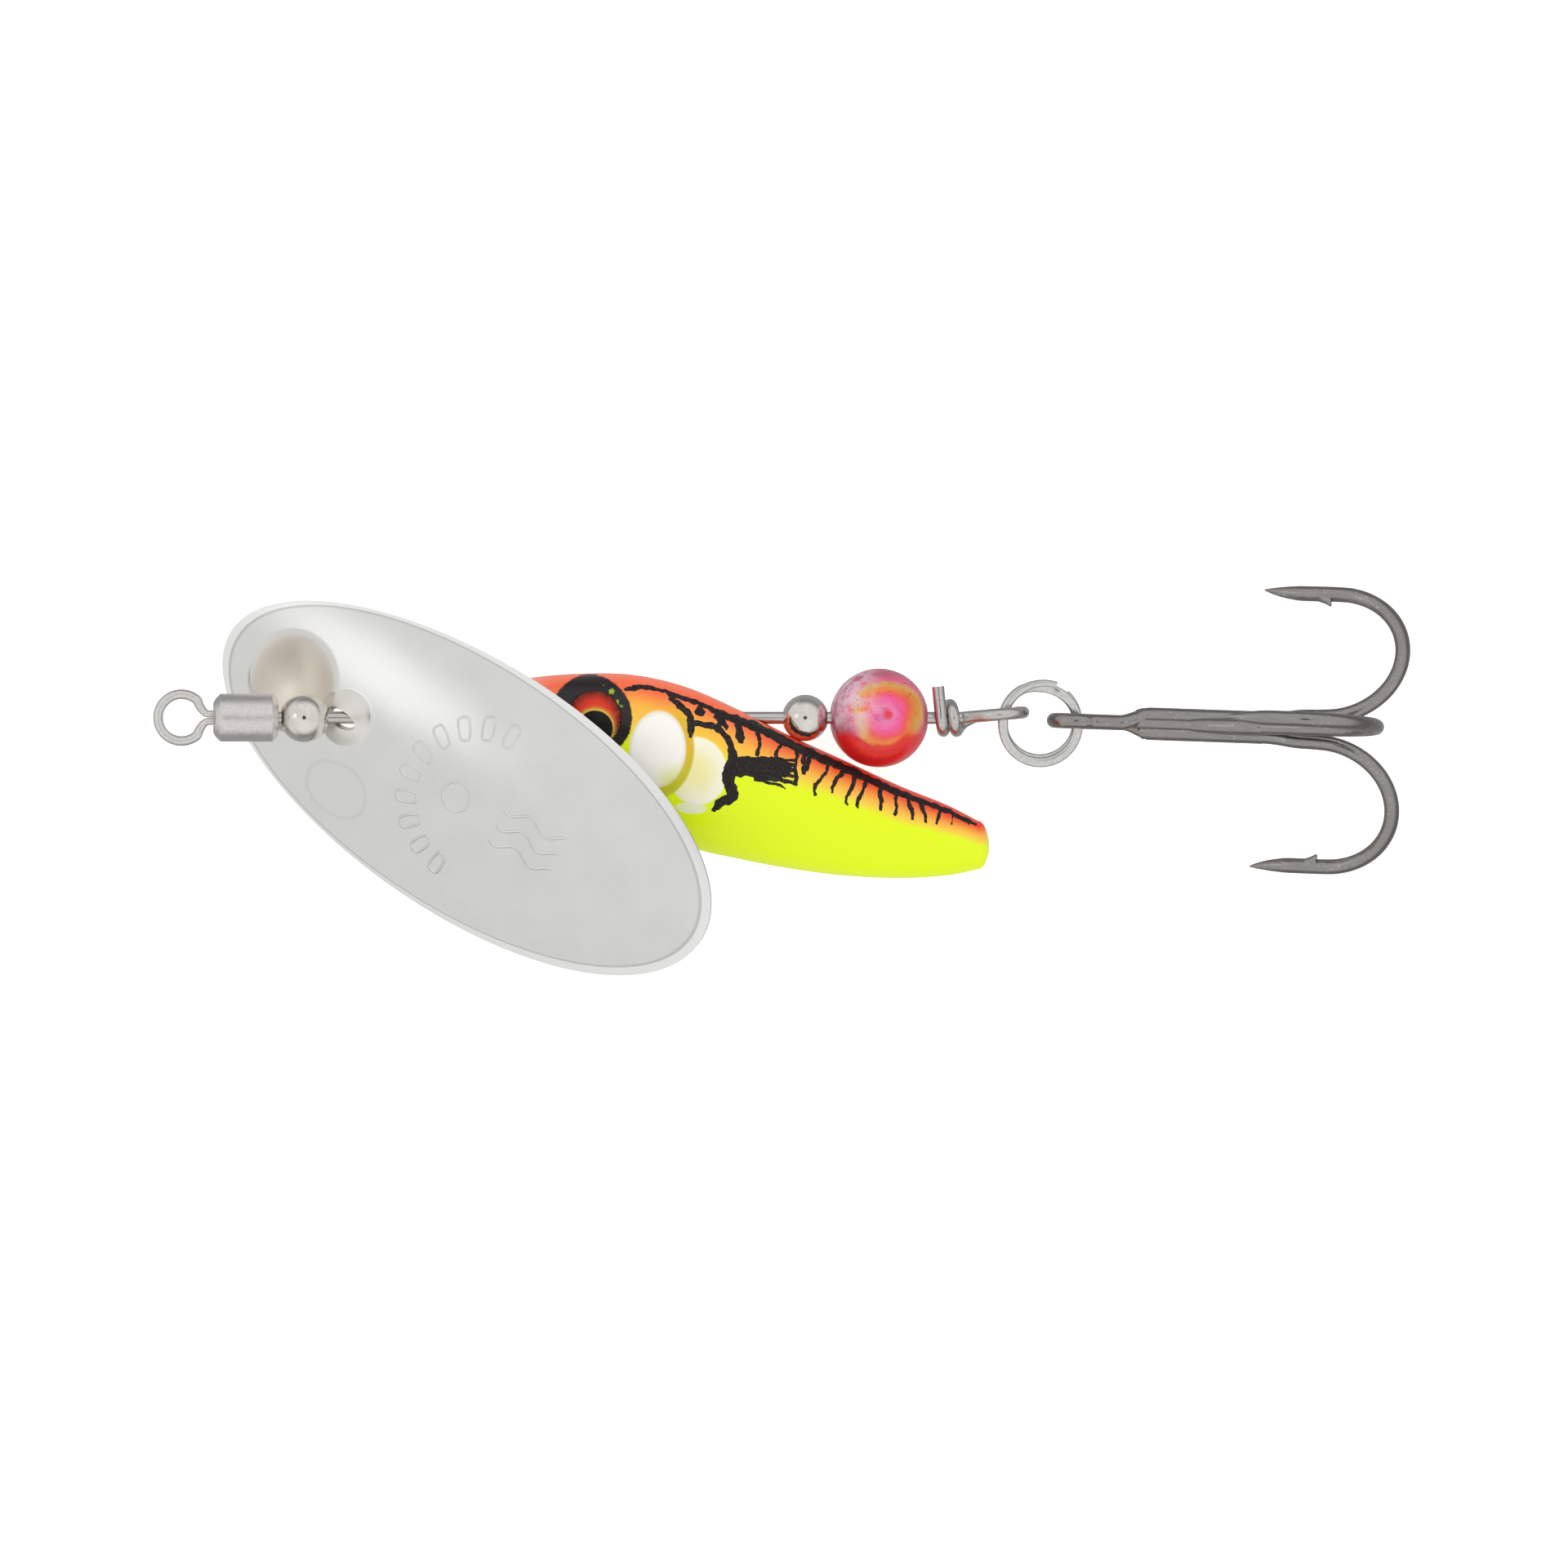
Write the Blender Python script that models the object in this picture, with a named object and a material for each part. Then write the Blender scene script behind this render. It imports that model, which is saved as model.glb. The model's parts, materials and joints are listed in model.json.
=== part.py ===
"""Inline spinner: a fishing lure threaded on one straight steel wire, lying at rest on a flat surface.

+X runs along the wire from the line tie towards the hooks, +Z is up, and the origin is the centre of the
underside of the whole lure. Pieces that turn are parented to an empty on their own axis.
"""

import math

import bmesh
import bpy
from mathutils import Matrix, Vector

MM = 0.001

# How the lure lies: its front end raised, its body turned a little about the wire
LURE_PITCH = math.radians(3.1)
BODY_ROLL = math.radians(5.0)

# Shaft wire
WIRE_R = 0.35 * MM
WIRE_BORE_CLEARANCE = 0.06 * MM
HEAD_X = -30.0 * MM
HEAD_R = 0.78 * MM
HEAD_LENGTH = 0.55 * MM
WRAP_START_X = 10.0 * MM
WRAP_TURNS = 1.5
WRAP_GAP = 0.03 * MM
LOOP_R = 1.35 * MM
LOOP_FAR_X = 13.98 * MM
LOOP_DROP = 0.25 * MM
TAG_LENGTH = 1.8 * MM
LOOP_SLANT = math.tan(math.radians(5.0))

# Barrel swivel
BARREL_FRONT_X = -32.2 * MM
BARREL_LENGTH = 3.68 * MM
BARREL_R = 1.36 * MM
BARREL_CHAMFER = 0.36 * MM
BARREL_CAVITY_R = 0.98 * MM
BARREL_WALL = 0.62 * MM
BARREL_FRONT_BORE_R = 0.5 * MM
BARREL_REAR_BORE_R = 0.43 * MM
EYE_RING_R = 1.32 * MM
EYE_WIRE_R = 0.25 * MM
EYE_LEG_R = 0.205 * MM
EYE_LEG_GAP = 0.02 * MM
EYE_CENTRE_X = -33.98 * MM
EYE_HEAD_R = 0.8 * MM
EYE_HEAD_LENGTH = 0.5 * MM

# Beads on the wire
FRONT_BEAD_X = -27.04 * MM
FRONT_BEAD_R = 1.41 * MM
BEARING_X = -19.55 * MM
BEARING_R = 0.95 * MM
REAR_BEAD_X = 1.25 * MM
REAR_BEAD_R = 1.25 * MM
RED_BEAD_X = 5.43 * MM
RED_BEAD_R = 2.8 * MM

# Blade, in its own plane: u towards the tail, v across, height outwards from the rim
BLADE_HOLE_X = -25.09 * MM
BLADE_LENGTH = 33.0 * MM
BLADE_WIDTH = 14.8 * MM
BLADE_CENTRE_U = 7.85 * MM
BLADE_CROWN = 1.6 * MM
BLADE_THICKNESS = 0.38 * MM
BLADE_HEAD_TAPER = 0.04
BLADE_HOLE_R = 0.92 * MM
BLADE_HOLE_U = 0.1 * MM
CUP_U = -3.5 * MM
CUP_R = 3.1 * MM
CUP_DEPTH = 1.6 * MM
NUB_U = 0.8 * MM
NUB_R = 2.0 * MM
NUB_HEIGHT = 0.9 * MM
BLADE_RISE = math.radians(25.0)
BLADE_ROLL = math.radians(8.0)
BLADE_TURN = math.radians(27.7)

# Fish-shaped body: x, back, belly and half thickness, measured from the wire
BODY_STATIONS = (
    (-18.35, 0.95, -0.95, 0.9),
    (-16.8, 1.7, -1.35, 1.45),
    (-14.2, 2.27, -2.1, 2.05),
    (-11.2, 2.5, -3.35, 2.5),
    (-8.4, 2.42, -5.2, 2.75),
    (-5.5, 1.75, -7.2, 2.8),
    (-2.4, 0.4, -8.02, 2.7),
    (0.4, -1.02, -8.55, 2.5),
    (3.4, -2.38, -8.95, 2.2),
    (6.6, -3.85, -9.1, 1.85),
    (9.4, -4.98, -8.95, 1.5),
    (11.1, -5.85, -8.6, 1.15),
)
BODY_TAIL_X = 11.7 * MM
BODY_BORE_CLEARANCE = 0.1 * MM
EYE_X = -10.76 * MM
EYE_Y = 0.2 * MM
EYE_R = 1.5 * MM
EYE_FLOOR = 1.95 * MM
EYE_FOIL = 0.14 * MM
EYE_TOP = 2.8 * MM
EYE_GAP = 0.03 * MM

# Split ring
RING_CENTRE = Vector((14.6 * MM, -0.38 * MM, -0.22 * MM))
RING_ROLL = math.radians(8.0)
RING_OUTER_R = 2.4 * MM
RING_WIDTH = 0.55 * MM
RING_COIL = 0.42 * MM
RING_COIL_GAP = 0.04 * MM
RING_SWING_AT = Vector((13.63 * MM, 0.25 * MM, 0))

# Treble hook
TREBLE_EYE = Vector((16.62 * MM, -0.18 * MM, -0.25 * MM))
TREBLE_WIRE_R = 0.43 * MM
TREBLE_EYE_R = 1.22 * MM
TREBLE_PITCH = math.radians(17.2)
TREBLE_YAW = math.radians(-2.1)
TREBLE_STRAND_GAP = 0.058 * MM
TREBLE_CLUSTER_R = (2 * TREBLE_WIRE_R + TREBLE_STRAND_GAP) / math.sqrt(3)
CLUSTER_START = 4.25 * MM
CLUSTER_END = 10.75 * MM
BEND_START = 14.15 * MM
BEND_R = 4.05 * MM
BEND_LIFT = 0.3 * MM
POINT_LENGTH = 3.6 * MM
POINT_TAPER = 2.3 * MM
THIRD_HOOK_ROLL = math.radians(-3.0)
FAR_HOOK_SHORTER = 0.3 * MM
FAR_POINT_LONGER = 0.6 * MM
BARB_FROM_POINT = 3.1 * MM
BARB_LENGTH = 1.1 * MM
BARB_HEIGHT = 0.34 * MM
BRAZE_R = 1.12 * MM
BRAZE_GAP = 0.03 * MM

ROUND_SEGMENTS = 32
X = Vector((1, 0, 0))
Y = Vector((0, 1, 0))
Z = Vector((0, 0, 1))


def clear_scene():
    for obj in list(bpy.data.objects):
        bpy.data.objects.remove(obj, do_unlink=True)


def material(name, colour, roughness, metallic, alpha=1.0):
    made = bpy.data.materials.new(name)
    made.use_nodes = True
    shader = made.node_tree.nodes["Principled BSDF"]
    shader.inputs["Base Color"].default_value = (*colour, 1.0)
    shader.inputs["Roughness"].default_value = roughness
    shader.inputs["Metallic"].default_value = metallic
    shader.inputs["Alpha"].default_value = alpha
    made.diffuse_color = (*colour, 1.0)
    return made


def empty(name, parent, location):
    made = bpy.data.objects.new(name, None)
    bpy.context.scene.collection.objects.link(made)
    made.empty_display_size = 2 * MM
    made.parent = parent
    made.location = location
    return made


def add_piece(name, mesh, look, parent, smooth_angle=40.0):
    mesh.materials.clear()
    mesh.materials.append(look)
    mesh.shade_smooth()
    mesh.set_sharp_from_angle(angle=math.radians(smooth_angle))
    made = bpy.data.objects.new(name, mesh)
    bpy.context.scene.collection.objects.link(made)
    made.parent = parent
    return made


def mesh_from(name, vertices, faces):
    """A mesh with its faces turned outwards and its caps in triangles."""
    made = bpy.data.meshes.new(name)
    made.from_pydata([tuple(v) for v in vertices], [], faces)
    work = bmesh.new()
    work.from_mesh(made)
    bmesh.ops.remove_doubles(work, verts=work.verts, dist=1e-7)
    bmesh.ops.triangulate(work, faces=[f for f in work.faces if len(f.verts) > 4])
    bmesh.ops.recalc_face_normals(work, faces=work.faces)
    work.to_mesh(made)
    work.free()
    return made


def rings_to_mesh(name, rings, closed=False):
    """Joins rings of equal length into one skin, capped at both ends or closed on itself."""
    count = len(rings[0])
    vertices = [point for ring in rings for point in ring]
    faces = []
    for i in range(len(rings) - (0 if closed else 1)):
        here = i * count
        there = (i + 1) % len(rings) * count
        for j in range(count):
            k = (j + 1) % count
            faces.append((here + j, here + k, there + k, there + j))
    if not closed:
        faces.append(tuple(range(count)))
        faces.append(tuple(range(len(vertices) - count, len(vertices))))
    return mesh_from(name, vertices, faces)


def lathe(name, profile, segments=ROUND_SEGMENTS):
    """Turns a closed outline of (x, radius) pairs about the X axis."""
    rings = []
    for i in range(segments):
        a = 2 * math.pi * i / segments
        rings.append([Vector((x, r * math.cos(a), r * math.sin(a))) for x, r in profile])
    return rings_to_mesh(name, rings, closed=True)


def circle(radius, along, first=X, second=Y, axis=Z, count=ROUND_SEGMENTS):
    """A ring of points about one of three unit directions, at a distance along it."""
    ring = []
    for j in range(count):
        a = 2 * math.pi * j / count
        ring.append(first * (radius * math.cos(a)) + second * (radius * math.sin(a)) + axis * along)
    return ring


def bead_profile(radius, bore, steps=12):
    """Half a ball's outline between the two mouths of its bore."""
    start = math.asin(bore / radius)
    angles = [start + (math.pi - 2 * start) * i / steps for i in range(steps + 1)]
    return [(-radius * math.cos(a), radius * math.sin(a)) for a in angles]


def tube(name, points, radii, sides=12, cyclic=False):
    """A round wire along the points, from a curve with a filled bevel, as a closed mesh."""
    curve = bpy.data.curves.new(name, "CURVE")
    curve.dimensions = "3D"
    curve.bevel_depth = 1.0
    curve.bevel_resolution = (sides - 4) // 2
    curve.use_fill_caps = not cyclic
    spline = curve.splines.new("POLY")
    spline.points.add(len(points) - 1)
    for point, place, radius in zip(spline.points, points, radii):
        point.co = (*place, 1.0)
        point.radius = radius
    spline.use_cyclic_u = cyclic
    holder = bpy.data.objects.new(name, curve)
    mesh = bpy.data.meshes.new_from_object(holder)
    bpy.data.objects.remove(holder)
    bpy.data.curves.remove(curve)
    work = bmesh.new()
    work.from_mesh(mesh)
    bmesh.ops.remove_doubles(work, verts=work.verts, dist=1e-7)
    bmesh.ops.recalc_face_normals(work, faces=work.faces)
    work.to_mesh(mesh)
    work.free()
    return mesh


def boolean(target, operation, mesh, parent, name):
    """Cuts a helper from a piece, or joins it on, with an exact Boolean modifier."""
    helper = bpy.data.objects.new(name, mesh)
    bpy.context.scene.collection.objects.link(helper)
    helper.parent = parent
    helper.hide_render = True
    helper.display_type = "WIRE"
    step = target.modifiers.new(name, "BOOLEAN")
    step.operation = operation
    step.solver = "EXACT"
    step.object = helper
    return helper


def arc(centre, radius, start, end, steps, across, along):
    """Points on an arc in the plane of two unit directions; angles in radians."""
    found = []
    for i in range(steps + 1):
        a = start + (end - start) * i / steps
        found.append(centre + across * (radius * math.cos(a)) + along * (radius * math.sin(a)))
    return found


def blend(start, start_way, end, end_way, steps):
    """Points between two ends of a smooth bend, without either end."""
    found = []
    for i in range(1, steps):
        t = i / steps
        a = 2 * t**3 - 3 * t**2 + 1
        b = t**3 - 2 * t**2 + t
        c = -2 * t**3 + 3 * t**2
        d = t**3 - t**2
        found.append(start * a + start_way * b + end * c + end_way * d)
    return found


def shaft_wire_mesh():
    """Head, straight run, closed loop and two close wraps, in one bent wire."""
    neck = WRAP_START_X
    helix_r = 2 * WIRE_R + WRAP_GAP
    pitch = 2 * WIRE_R + WRAP_GAP
    centre = Vector((LOOP_FAR_X - WIRE_R - LOOP_R, 0, -LOOP_DROP))
    points = [X * (HEAD_X - HEAD_LENGTH), X * (HEAD_X - 0.001 * MM), X * HEAD_X]
    radii = [HEAD_R, HEAD_R, WIRE_R]
    straight = [X * (HEAD_X + 0.2 * MM), X * (neck - 2 * MM), X * neck]
    loop = arc(centre, LOOP_R, math.radians(122), math.radians(-118), 18, X, Z)
    lead = blend(straight[-1], X * 1.6 * MM, loop[0], Vector((1.3, 0, 0.9)) * MM, 5)
    wrap = []
    steps = 24
    for i in range(steps + 1):
        a = 2 * math.pi * WRAP_TURNS * i / steps
        x = neck - pitch * a / (2 * math.pi) + 0.75 * MM * math.exp(-a / 0.4)
        wrap.append(Vector((x, -helix_r * math.sin(a), -helix_r * math.cos(a))))
    back = blend(loop[-1], Vector((-0.9, 0, 0.3)) * MM, wrap[0], Vector((-0.9, 0, 0)) * MM, 4)
    way = Vector((-0.12, 1, 0)).normalized()
    tag = [wrap[-1] + way * TAG_LENGTH * 0.5, wrap[-1] + way * TAG_LENGTH]
    slanted = lead + loop + back
    for place in slanted:
        place.y += (place.x - neck) * LOOP_SLANT
    rest = straight + slanted + wrap + tag
    return tube("shaft_wire", points + rest, radii + [WIRE_R] * len(rest), sides=12)


def swivel_eye_mesh():
    """A ring whose two ends run side by side into the barrel."""
    leg_y = EYE_LEG_R + EYE_LEG_GAP / 2
    inside = X * (BARREL_FRONT_X + BARREL_WALL + 0.25 * MM)
    mouth = X * (BARREL_FRONT_X - 0.25 * MM)
    centre = X * EYE_CENTRE_X
    start = math.radians(48)
    ring = arc(centre, EYE_RING_R, start, 2 * math.pi - start, 26, X, Y)
    way = Vector((-0.35, 1.0, 0)) * 0.9 * MM
    lead = blend(mouth + Y * leg_y, X * -0.9 * MM, ring[0], way, 5)
    back = [Vector((p.x, -p.y, p.z)) for p in reversed(lead)]
    points = [inside + Y * leg_y, mouth + Y * leg_y] + lead + ring + back
    points += [mouth - Y * leg_y, inside - Y * leg_y]
    legs = [EYE_LEG_R] * 2
    grow = [EYE_LEG_R + (EYE_WIRE_R - EYE_LEG_R) * (i + 1) / 5 for i in range(4)]
    radii = legs + grow + [EYE_WIRE_R] * len(ring) + grow[::-1] + legs
    return tube("swivel_eye", points, radii, sides=12)


def barrel_profile():
    """The swivel's shell: a chamfered drum with a chamber between its two end walls."""
    half = BARREL_LENGTH / 2
    c = BARREL_CHAMFER
    deep = half - BARREL_WALL
    return [
        (-half, BARREL_FRONT_BORE_R),
        (-half, BARREL_R - c),
        (-half + c, BARREL_R),
        (half - c, BARREL_R),
        (half, BARREL_R - c),
        (half, BARREL_REAR_BORE_R),
        (deep, BARREL_REAR_BORE_R),
        (deep, BARREL_CAVITY_R),
        (-deep, BARREL_CAVITY_R),
        (-deep, BARREL_FRONT_BORE_R),
    ]


def bump(distance, radius):
    t = distance / radius
    return (1 - t * t) ** 2 if t < 1 else 0.0


def blade_height(u, v):
    """Height of the blade's outer face above the plane of its rim."""
    along = (u - BLADE_CENTRE_U) / (BLADE_LENGTH / 2)
    across = v / (BLADE_WIDTH / 2)
    dish = BLADE_CROWN * (1 - along * along - across * across)
    cup = CUP_DEPTH * bump(math.hypot(u - CUP_U, v), CUP_R)
    nub = NUB_HEIGHT * bump(math.hypot(u - NUB_U, v), NUB_R)
    return dish - cup + nub


def blade_normal(u, v):
    step = 0.01 * MM
    du = (blade_height(u + step, v) - blade_height(u - step, v)) / (2 * step)
    dv = (blade_height(u, v + step) - blade_height(u, v - step)) / (2 * step)
    return Vector((-du, -dv, 1)).normalized()


def blade_outline(angle):
    """The rim, seen from the hole: where the ray at this angle leaves the blade's outline."""
    low = BLADE_HOLE_R
    high = BLADE_LENGTH
    for _ in range(40):
        r = (low + high) / 2
        u = BLADE_HOLE_U + r * math.cos(angle)
        v = r * math.sin(angle)
        along = (u - BLADE_CENTRE_U) / (BLADE_LENGTH / 2)
        width = BLADE_WIDTH / 2 * (1 + BLADE_HEAD_TAPER * along)
        inside = along**2 + (v / width) ** 2 < 1
        low, high = (r, high) if inside else (low, r)
    return low


def blade_mesh():
    """A pressed sheet, in rings from its hole to its rim, with an even thickness."""
    steps = 15
    spokes = 60
    outer = []
    for i in range(steps + 1):
        ring = []
        for j in range(spokes):
            a = 2 * math.pi * j / spokes
            a -= 0.35 * math.sin(a) + 0.2 * math.sin(2 * a)
            reach = blade_outline(a)
            t = (i / steps) ** 1.35
            r = BLADE_HOLE_R + (reach - BLADE_HOLE_R) * t
            ring.append((BLADE_HOLE_U + r * math.cos(a), r * math.sin(a)))
        outer.append(ring)
    level = blade_height(0, 0)
    top = []
    under = []
    for ring in outer:
        face = [Vector((u, v, blade_height(u, v) - level)) for u, v in ring]
        half = [blade_normal(u, v) * BLADE_THICKNESS / 2 for u, v in ring]
        top.append([p + h for p, h in zip(face, half)])
        under.append([p - h for p, h in zip(face, half)])
    return rings_to_mesh("blade", top + under[::-1], closed=True)


def blade_pose():
    """How the blade hangs on the wire at rest: turned in its plane, tail raised, lower side down."""
    turn = Matrix.Rotation(-BLADE_TURN, 4, "Z")
    rise = Matrix.Rotation(-BLADE_RISE, 4, "Y")
    roll = Matrix.Rotation(BLADE_ROLL, 4, "X")
    return roll @ rise @ turn


def station_at(x):
    """Back, belly and half thickness of the body at x, on smooth curves through the stations."""
    rows = BODY_STATIONS
    i = 0
    while i < len(rows) - 2 and x > rows[i + 1][0]:
        i += 1
    t = (x - rows[i][0]) / (rows[i + 1][0] - rows[i][0])
    found = []
    for k in (1, 2, 3):
        p1 = rows[i][k]
        p2 = rows[i + 1][k]
        span = rows[i + 1][0] - rows[i][0]
        before = rows[max(i - 1, 0)]
        after = rows[min(i + 2, len(rows) - 1)]
        m1 = (p2 - before[k]) / (rows[i + 1][0] - before[0]) * span
        m2 = (after[k] - p1) / (after[0] - rows[i][0]) * span
        a = (2 * t**3 - 3 * t**2 + 1) * p1 + (t**3 - 2 * t**2 + t) * m1
        found.append(a + (-2 * t**3 + 3 * t**2) * p2 + (t**3 - t**2) * m2)
    return found


def body_ring(x, back, belly, half, count=28):
    middle = (back + belly) / 2
    tall = (back - belly) / 2
    ring = []
    for j in range(count):
        a = 2 * math.pi * j / count
        s = math.sin(a)
        c = math.cos(a)
        y = middle + tall * math.copysign(abs(s) ** 0.95, s)
        z = half * math.copysign(abs(c) ** 0.9, c)
        ring.append(Vector((x, y, z)) * MM)
    return ring


def body_mesh():
    first = BODY_STATIONS[0][0]
    last = BODY_STATIONS[-1][0]
    steps = 26
    rings = []
    for i in range(steps + 1):
        x = first + (last - first) * i / steps
        rings.append(body_ring(x, *station_at(x)))
    back, belly, half = BODY_STATIONS[-1][1:]
    middle = (back + belly) / 2 - 0.1
    tail = BODY_TAIL_X / MM - last
    for part in (0.55, 0.85, 1.0):
        shrink = math.sqrt(max(1 - part * part, 0.09))
        x = last + tail * part
        low = middle + (belly - middle) * shrink
        rings.append(body_ring(x, middle + (back - middle) * shrink, low, half * shrink))
    return rings_to_mesh("lure_body", rings)


def disc_mesh(name, radius, low, high):
    return rings_to_mesh(name, [circle(radius, low), circle(radius, high)])


def rod_mesh(name, radius, start, end, count):
    return rings_to_mesh(name, [circle(radius, x, Y, Z, X, count) for x in (start, end)])


def dome_mesh(name, radius, low, top):
    """A clear lens: a short rim under a spherical cap."""
    rim = low + 0.25 * MM
    rise = top - rim
    ball = (radius * radius + rise * rise) / (2 * rise)
    full = math.asin(radius / ball)
    rings = [circle(radius, low), circle(radius, rim)]
    for i in range(1, 6):
        a = full * (1 - i / 6)
        rings.append(circle(ball * math.sin(a), top - ball + ball * math.cos(a)))
    return rings_to_mesh(name, rings)


def split_ring_mesh():
    """Flat-sided wire coiled nearly twice around, one coil over the other."""
    turns = 1.94
    steps = 72
    middle = RING_OUTER_R - RING_WIDTH / 2
    coil = RING_COIL + RING_COIL_GAP
    w = RING_WIDTH / 2
    h = RING_COIL / 2
    rings = []
    for i in range(steps + 1):
        t = i / steps
        a = math.radians(70) + 2 * math.pi * turns * t
        turn = (turns * t - turns / 2) / 0.12
        z = coil / 2 * max(-1.0, min(1.0, turn))
        out = Vector((math.cos(a), math.sin(a), 0))
        place = out * middle + Z * z
        ring = []
        for dr, dz in ((w, h * 0.5), (w * 0.6, h), (-w * 0.6, h), (-w, h * 0.5)):
            ring.append(place + out * dr + Z * dz)
        for dr, dz in ((-w, -h * 0.5), (-w * 0.6, -h), (w * 0.6, -h), (w, -h * 0.5)):
            ring.append(place + out * dr + Z * dz)
        rings.append(ring)
    return rings_to_mesh("split_ring", rings)


def hook_points(shorter=0.0, longer=0.0):
    """One hook in its own plane, from the shank's cluster to the point: (along, outwards) and radius."""
    r = TREBLE_WIRE_R
    start = BEND_START - shorter
    low = TREBLE_CLUSTER_R + BEND_LIFT
    found = [(CLUSTER_END - shorter, TREBLE_CLUSTER_R, r), (start - 1.2 * MM, low * 0.93, r)]
    for i in range(15):
        a = -math.pi / 2 + math.pi * i / 14
        found.append((start + BEND_R * math.cos(a), low + BEND_R + BEND_R * math.sin(a), r))
    top = low + 2 * BEND_R
    leg = POINT_LENGTH + longer
    found.append((start - (leg - POINT_TAPER), top, r))
    found.append((start - (leg - POINT_TAPER * 0.45), top + 0.05 * MM, r * 0.72))
    found.append((start - leg, top + 0.16 * MM, r * 0.12))
    return found


def around(direction):
    """Turns (along, outwards) into a place beside the treble's axis, at this angle about it."""
    out = Y * math.cos(direction) + Z * math.sin(direction)
    return lambda along, outwards: X * along + out * outwards


def treble_double_mesh():
    """Two hooks on one wire, with the eye where the wire is doubled."""
    r = TREBLE_WIRE_R
    low_side = []
    centre = Vector((0, 0, 0))
    for first, last, shorter, longer in (
        (90.0, -30.0, 0.0, 0.0),
        (270.0, 210.0, FAR_HOOK_SHORTER, FAR_POINT_LONGER),
    ):
        strand = []
        for i in range(9):
            t = i / 8
            ease = t * t * (3 - 2 * t)
            angle = math.radians(first + (last - first) * ease)
            place = around(angle)
            strand.append((place(CLUSTER_START - 1.6 * MM + 1.6 * MM * t, TREBLE_CLUSTER_R), r))
        place = around(math.radians(last))
        hook = [(place(s, out), size) for s, out, size in hook_points(shorter, longer)]
        low_side.append(strand + hook)
    edge = math.radians(38)
    eye = arc(centre, TREBLE_EYE_R, edge, 2 * math.pi - edge, 18, X, Z)
    up = low_side[0][0][0]
    way = Vector((-0.9, 0, 0)) * MM
    lead = blend(up, way, eye[0], Vector((-0.75, 0, 1.0)) * MM, 4)
    back = [Vector((p.x, p.y, -p.z)) for p in reversed(lead)]
    path = [p for p, _ in reversed(low_side[0])] + lead + eye + back + [p for p, _ in low_side[1]]
    sizes = [s for _, s in reversed(low_side[0])] + [r] * (len(lead) * 2 + len(eye))
    sizes += [s for _, s in low_side[1]]
    return tube("treble_double_wire", path, sizes, sides=10)


def treble_third_mesh():
    place = around(math.pi / 2 + THIRD_HOOK_ROLL)
    r = TREBLE_WIRE_R
    path = [(place(CLUSTER_START, TREBLE_CLUSTER_R), r)]
    path += [(place(s, out), size) for s, out, size in hook_points()]
    return tube("treble_third_wire", [p for p, _ in path], [s for _, s in path], sides=10)


def barb_mesh(name, direction, shorter=0.0):
    """A small blade raised from the inner side of a hook's point."""
    place = around(direction)
    top = TREBLE_CLUSTER_R + BEND_LIFT + 2 * BEND_R
    tip = BEND_START - shorter - POINT_LENGTH + BARB_FROM_POINT
    root = tip - BARB_LENGTH
    side = Z * math.cos(direction) - Y * math.sin(direction)
    w = TREBLE_WIRE_R * 0.55
    base = top - TREBLE_WIRE_R * 0.55
    low = top - TREBLE_WIRE_R - BARB_HEIGHT
    rings = []
    for s in (-w, w):
        ring = [place(root, base), place(tip, low), place(tip - 0.1 * MM, base)]
        rings.append([p + side * s for p in ring])
    return rings_to_mesh(name, rings)


def braze_mesh():
    """The filler that holds the three shanks together: a thin skin with three grooves inside."""
    start = CLUSTER_START + 0.35 * MM
    end = CLUSTER_END - 0.55 * MM
    inner_r = TREBLE_WIRE_R + BRAZE_GAP
    shell_out = []
    shell_in = []
    for i in range(48):
        a = 2 * math.pi * i / 48
        out = Y * math.cos(a) + Z * math.sin(a)
        reach = 0.0
        for wire in (-30.0, 90.0 + math.degrees(THIRD_HOOK_ROLL), 210.0):
            turn = a - math.radians(wire)
            across = TREBLE_CLUSTER_R * math.sin(turn)
            if abs(across) < inner_r:
                far = TREBLE_CLUSTER_R * math.cos(turn) + math.sqrt(inner_r**2 - across**2)
                reach = max(reach, far)
        shell_in.append(out * reach)
        shell_out.append(out * max(reach + 0.09 * MM, BRAZE_R * 0.72))
    rings = []
    for ring, x in ((shell_out, start), (shell_out, end), (shell_in, end), (shell_in, start)):
        rings.append([p + X * x for p in ring])
    return rings_to_mesh("treble_braze", rings, closed=True)


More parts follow.
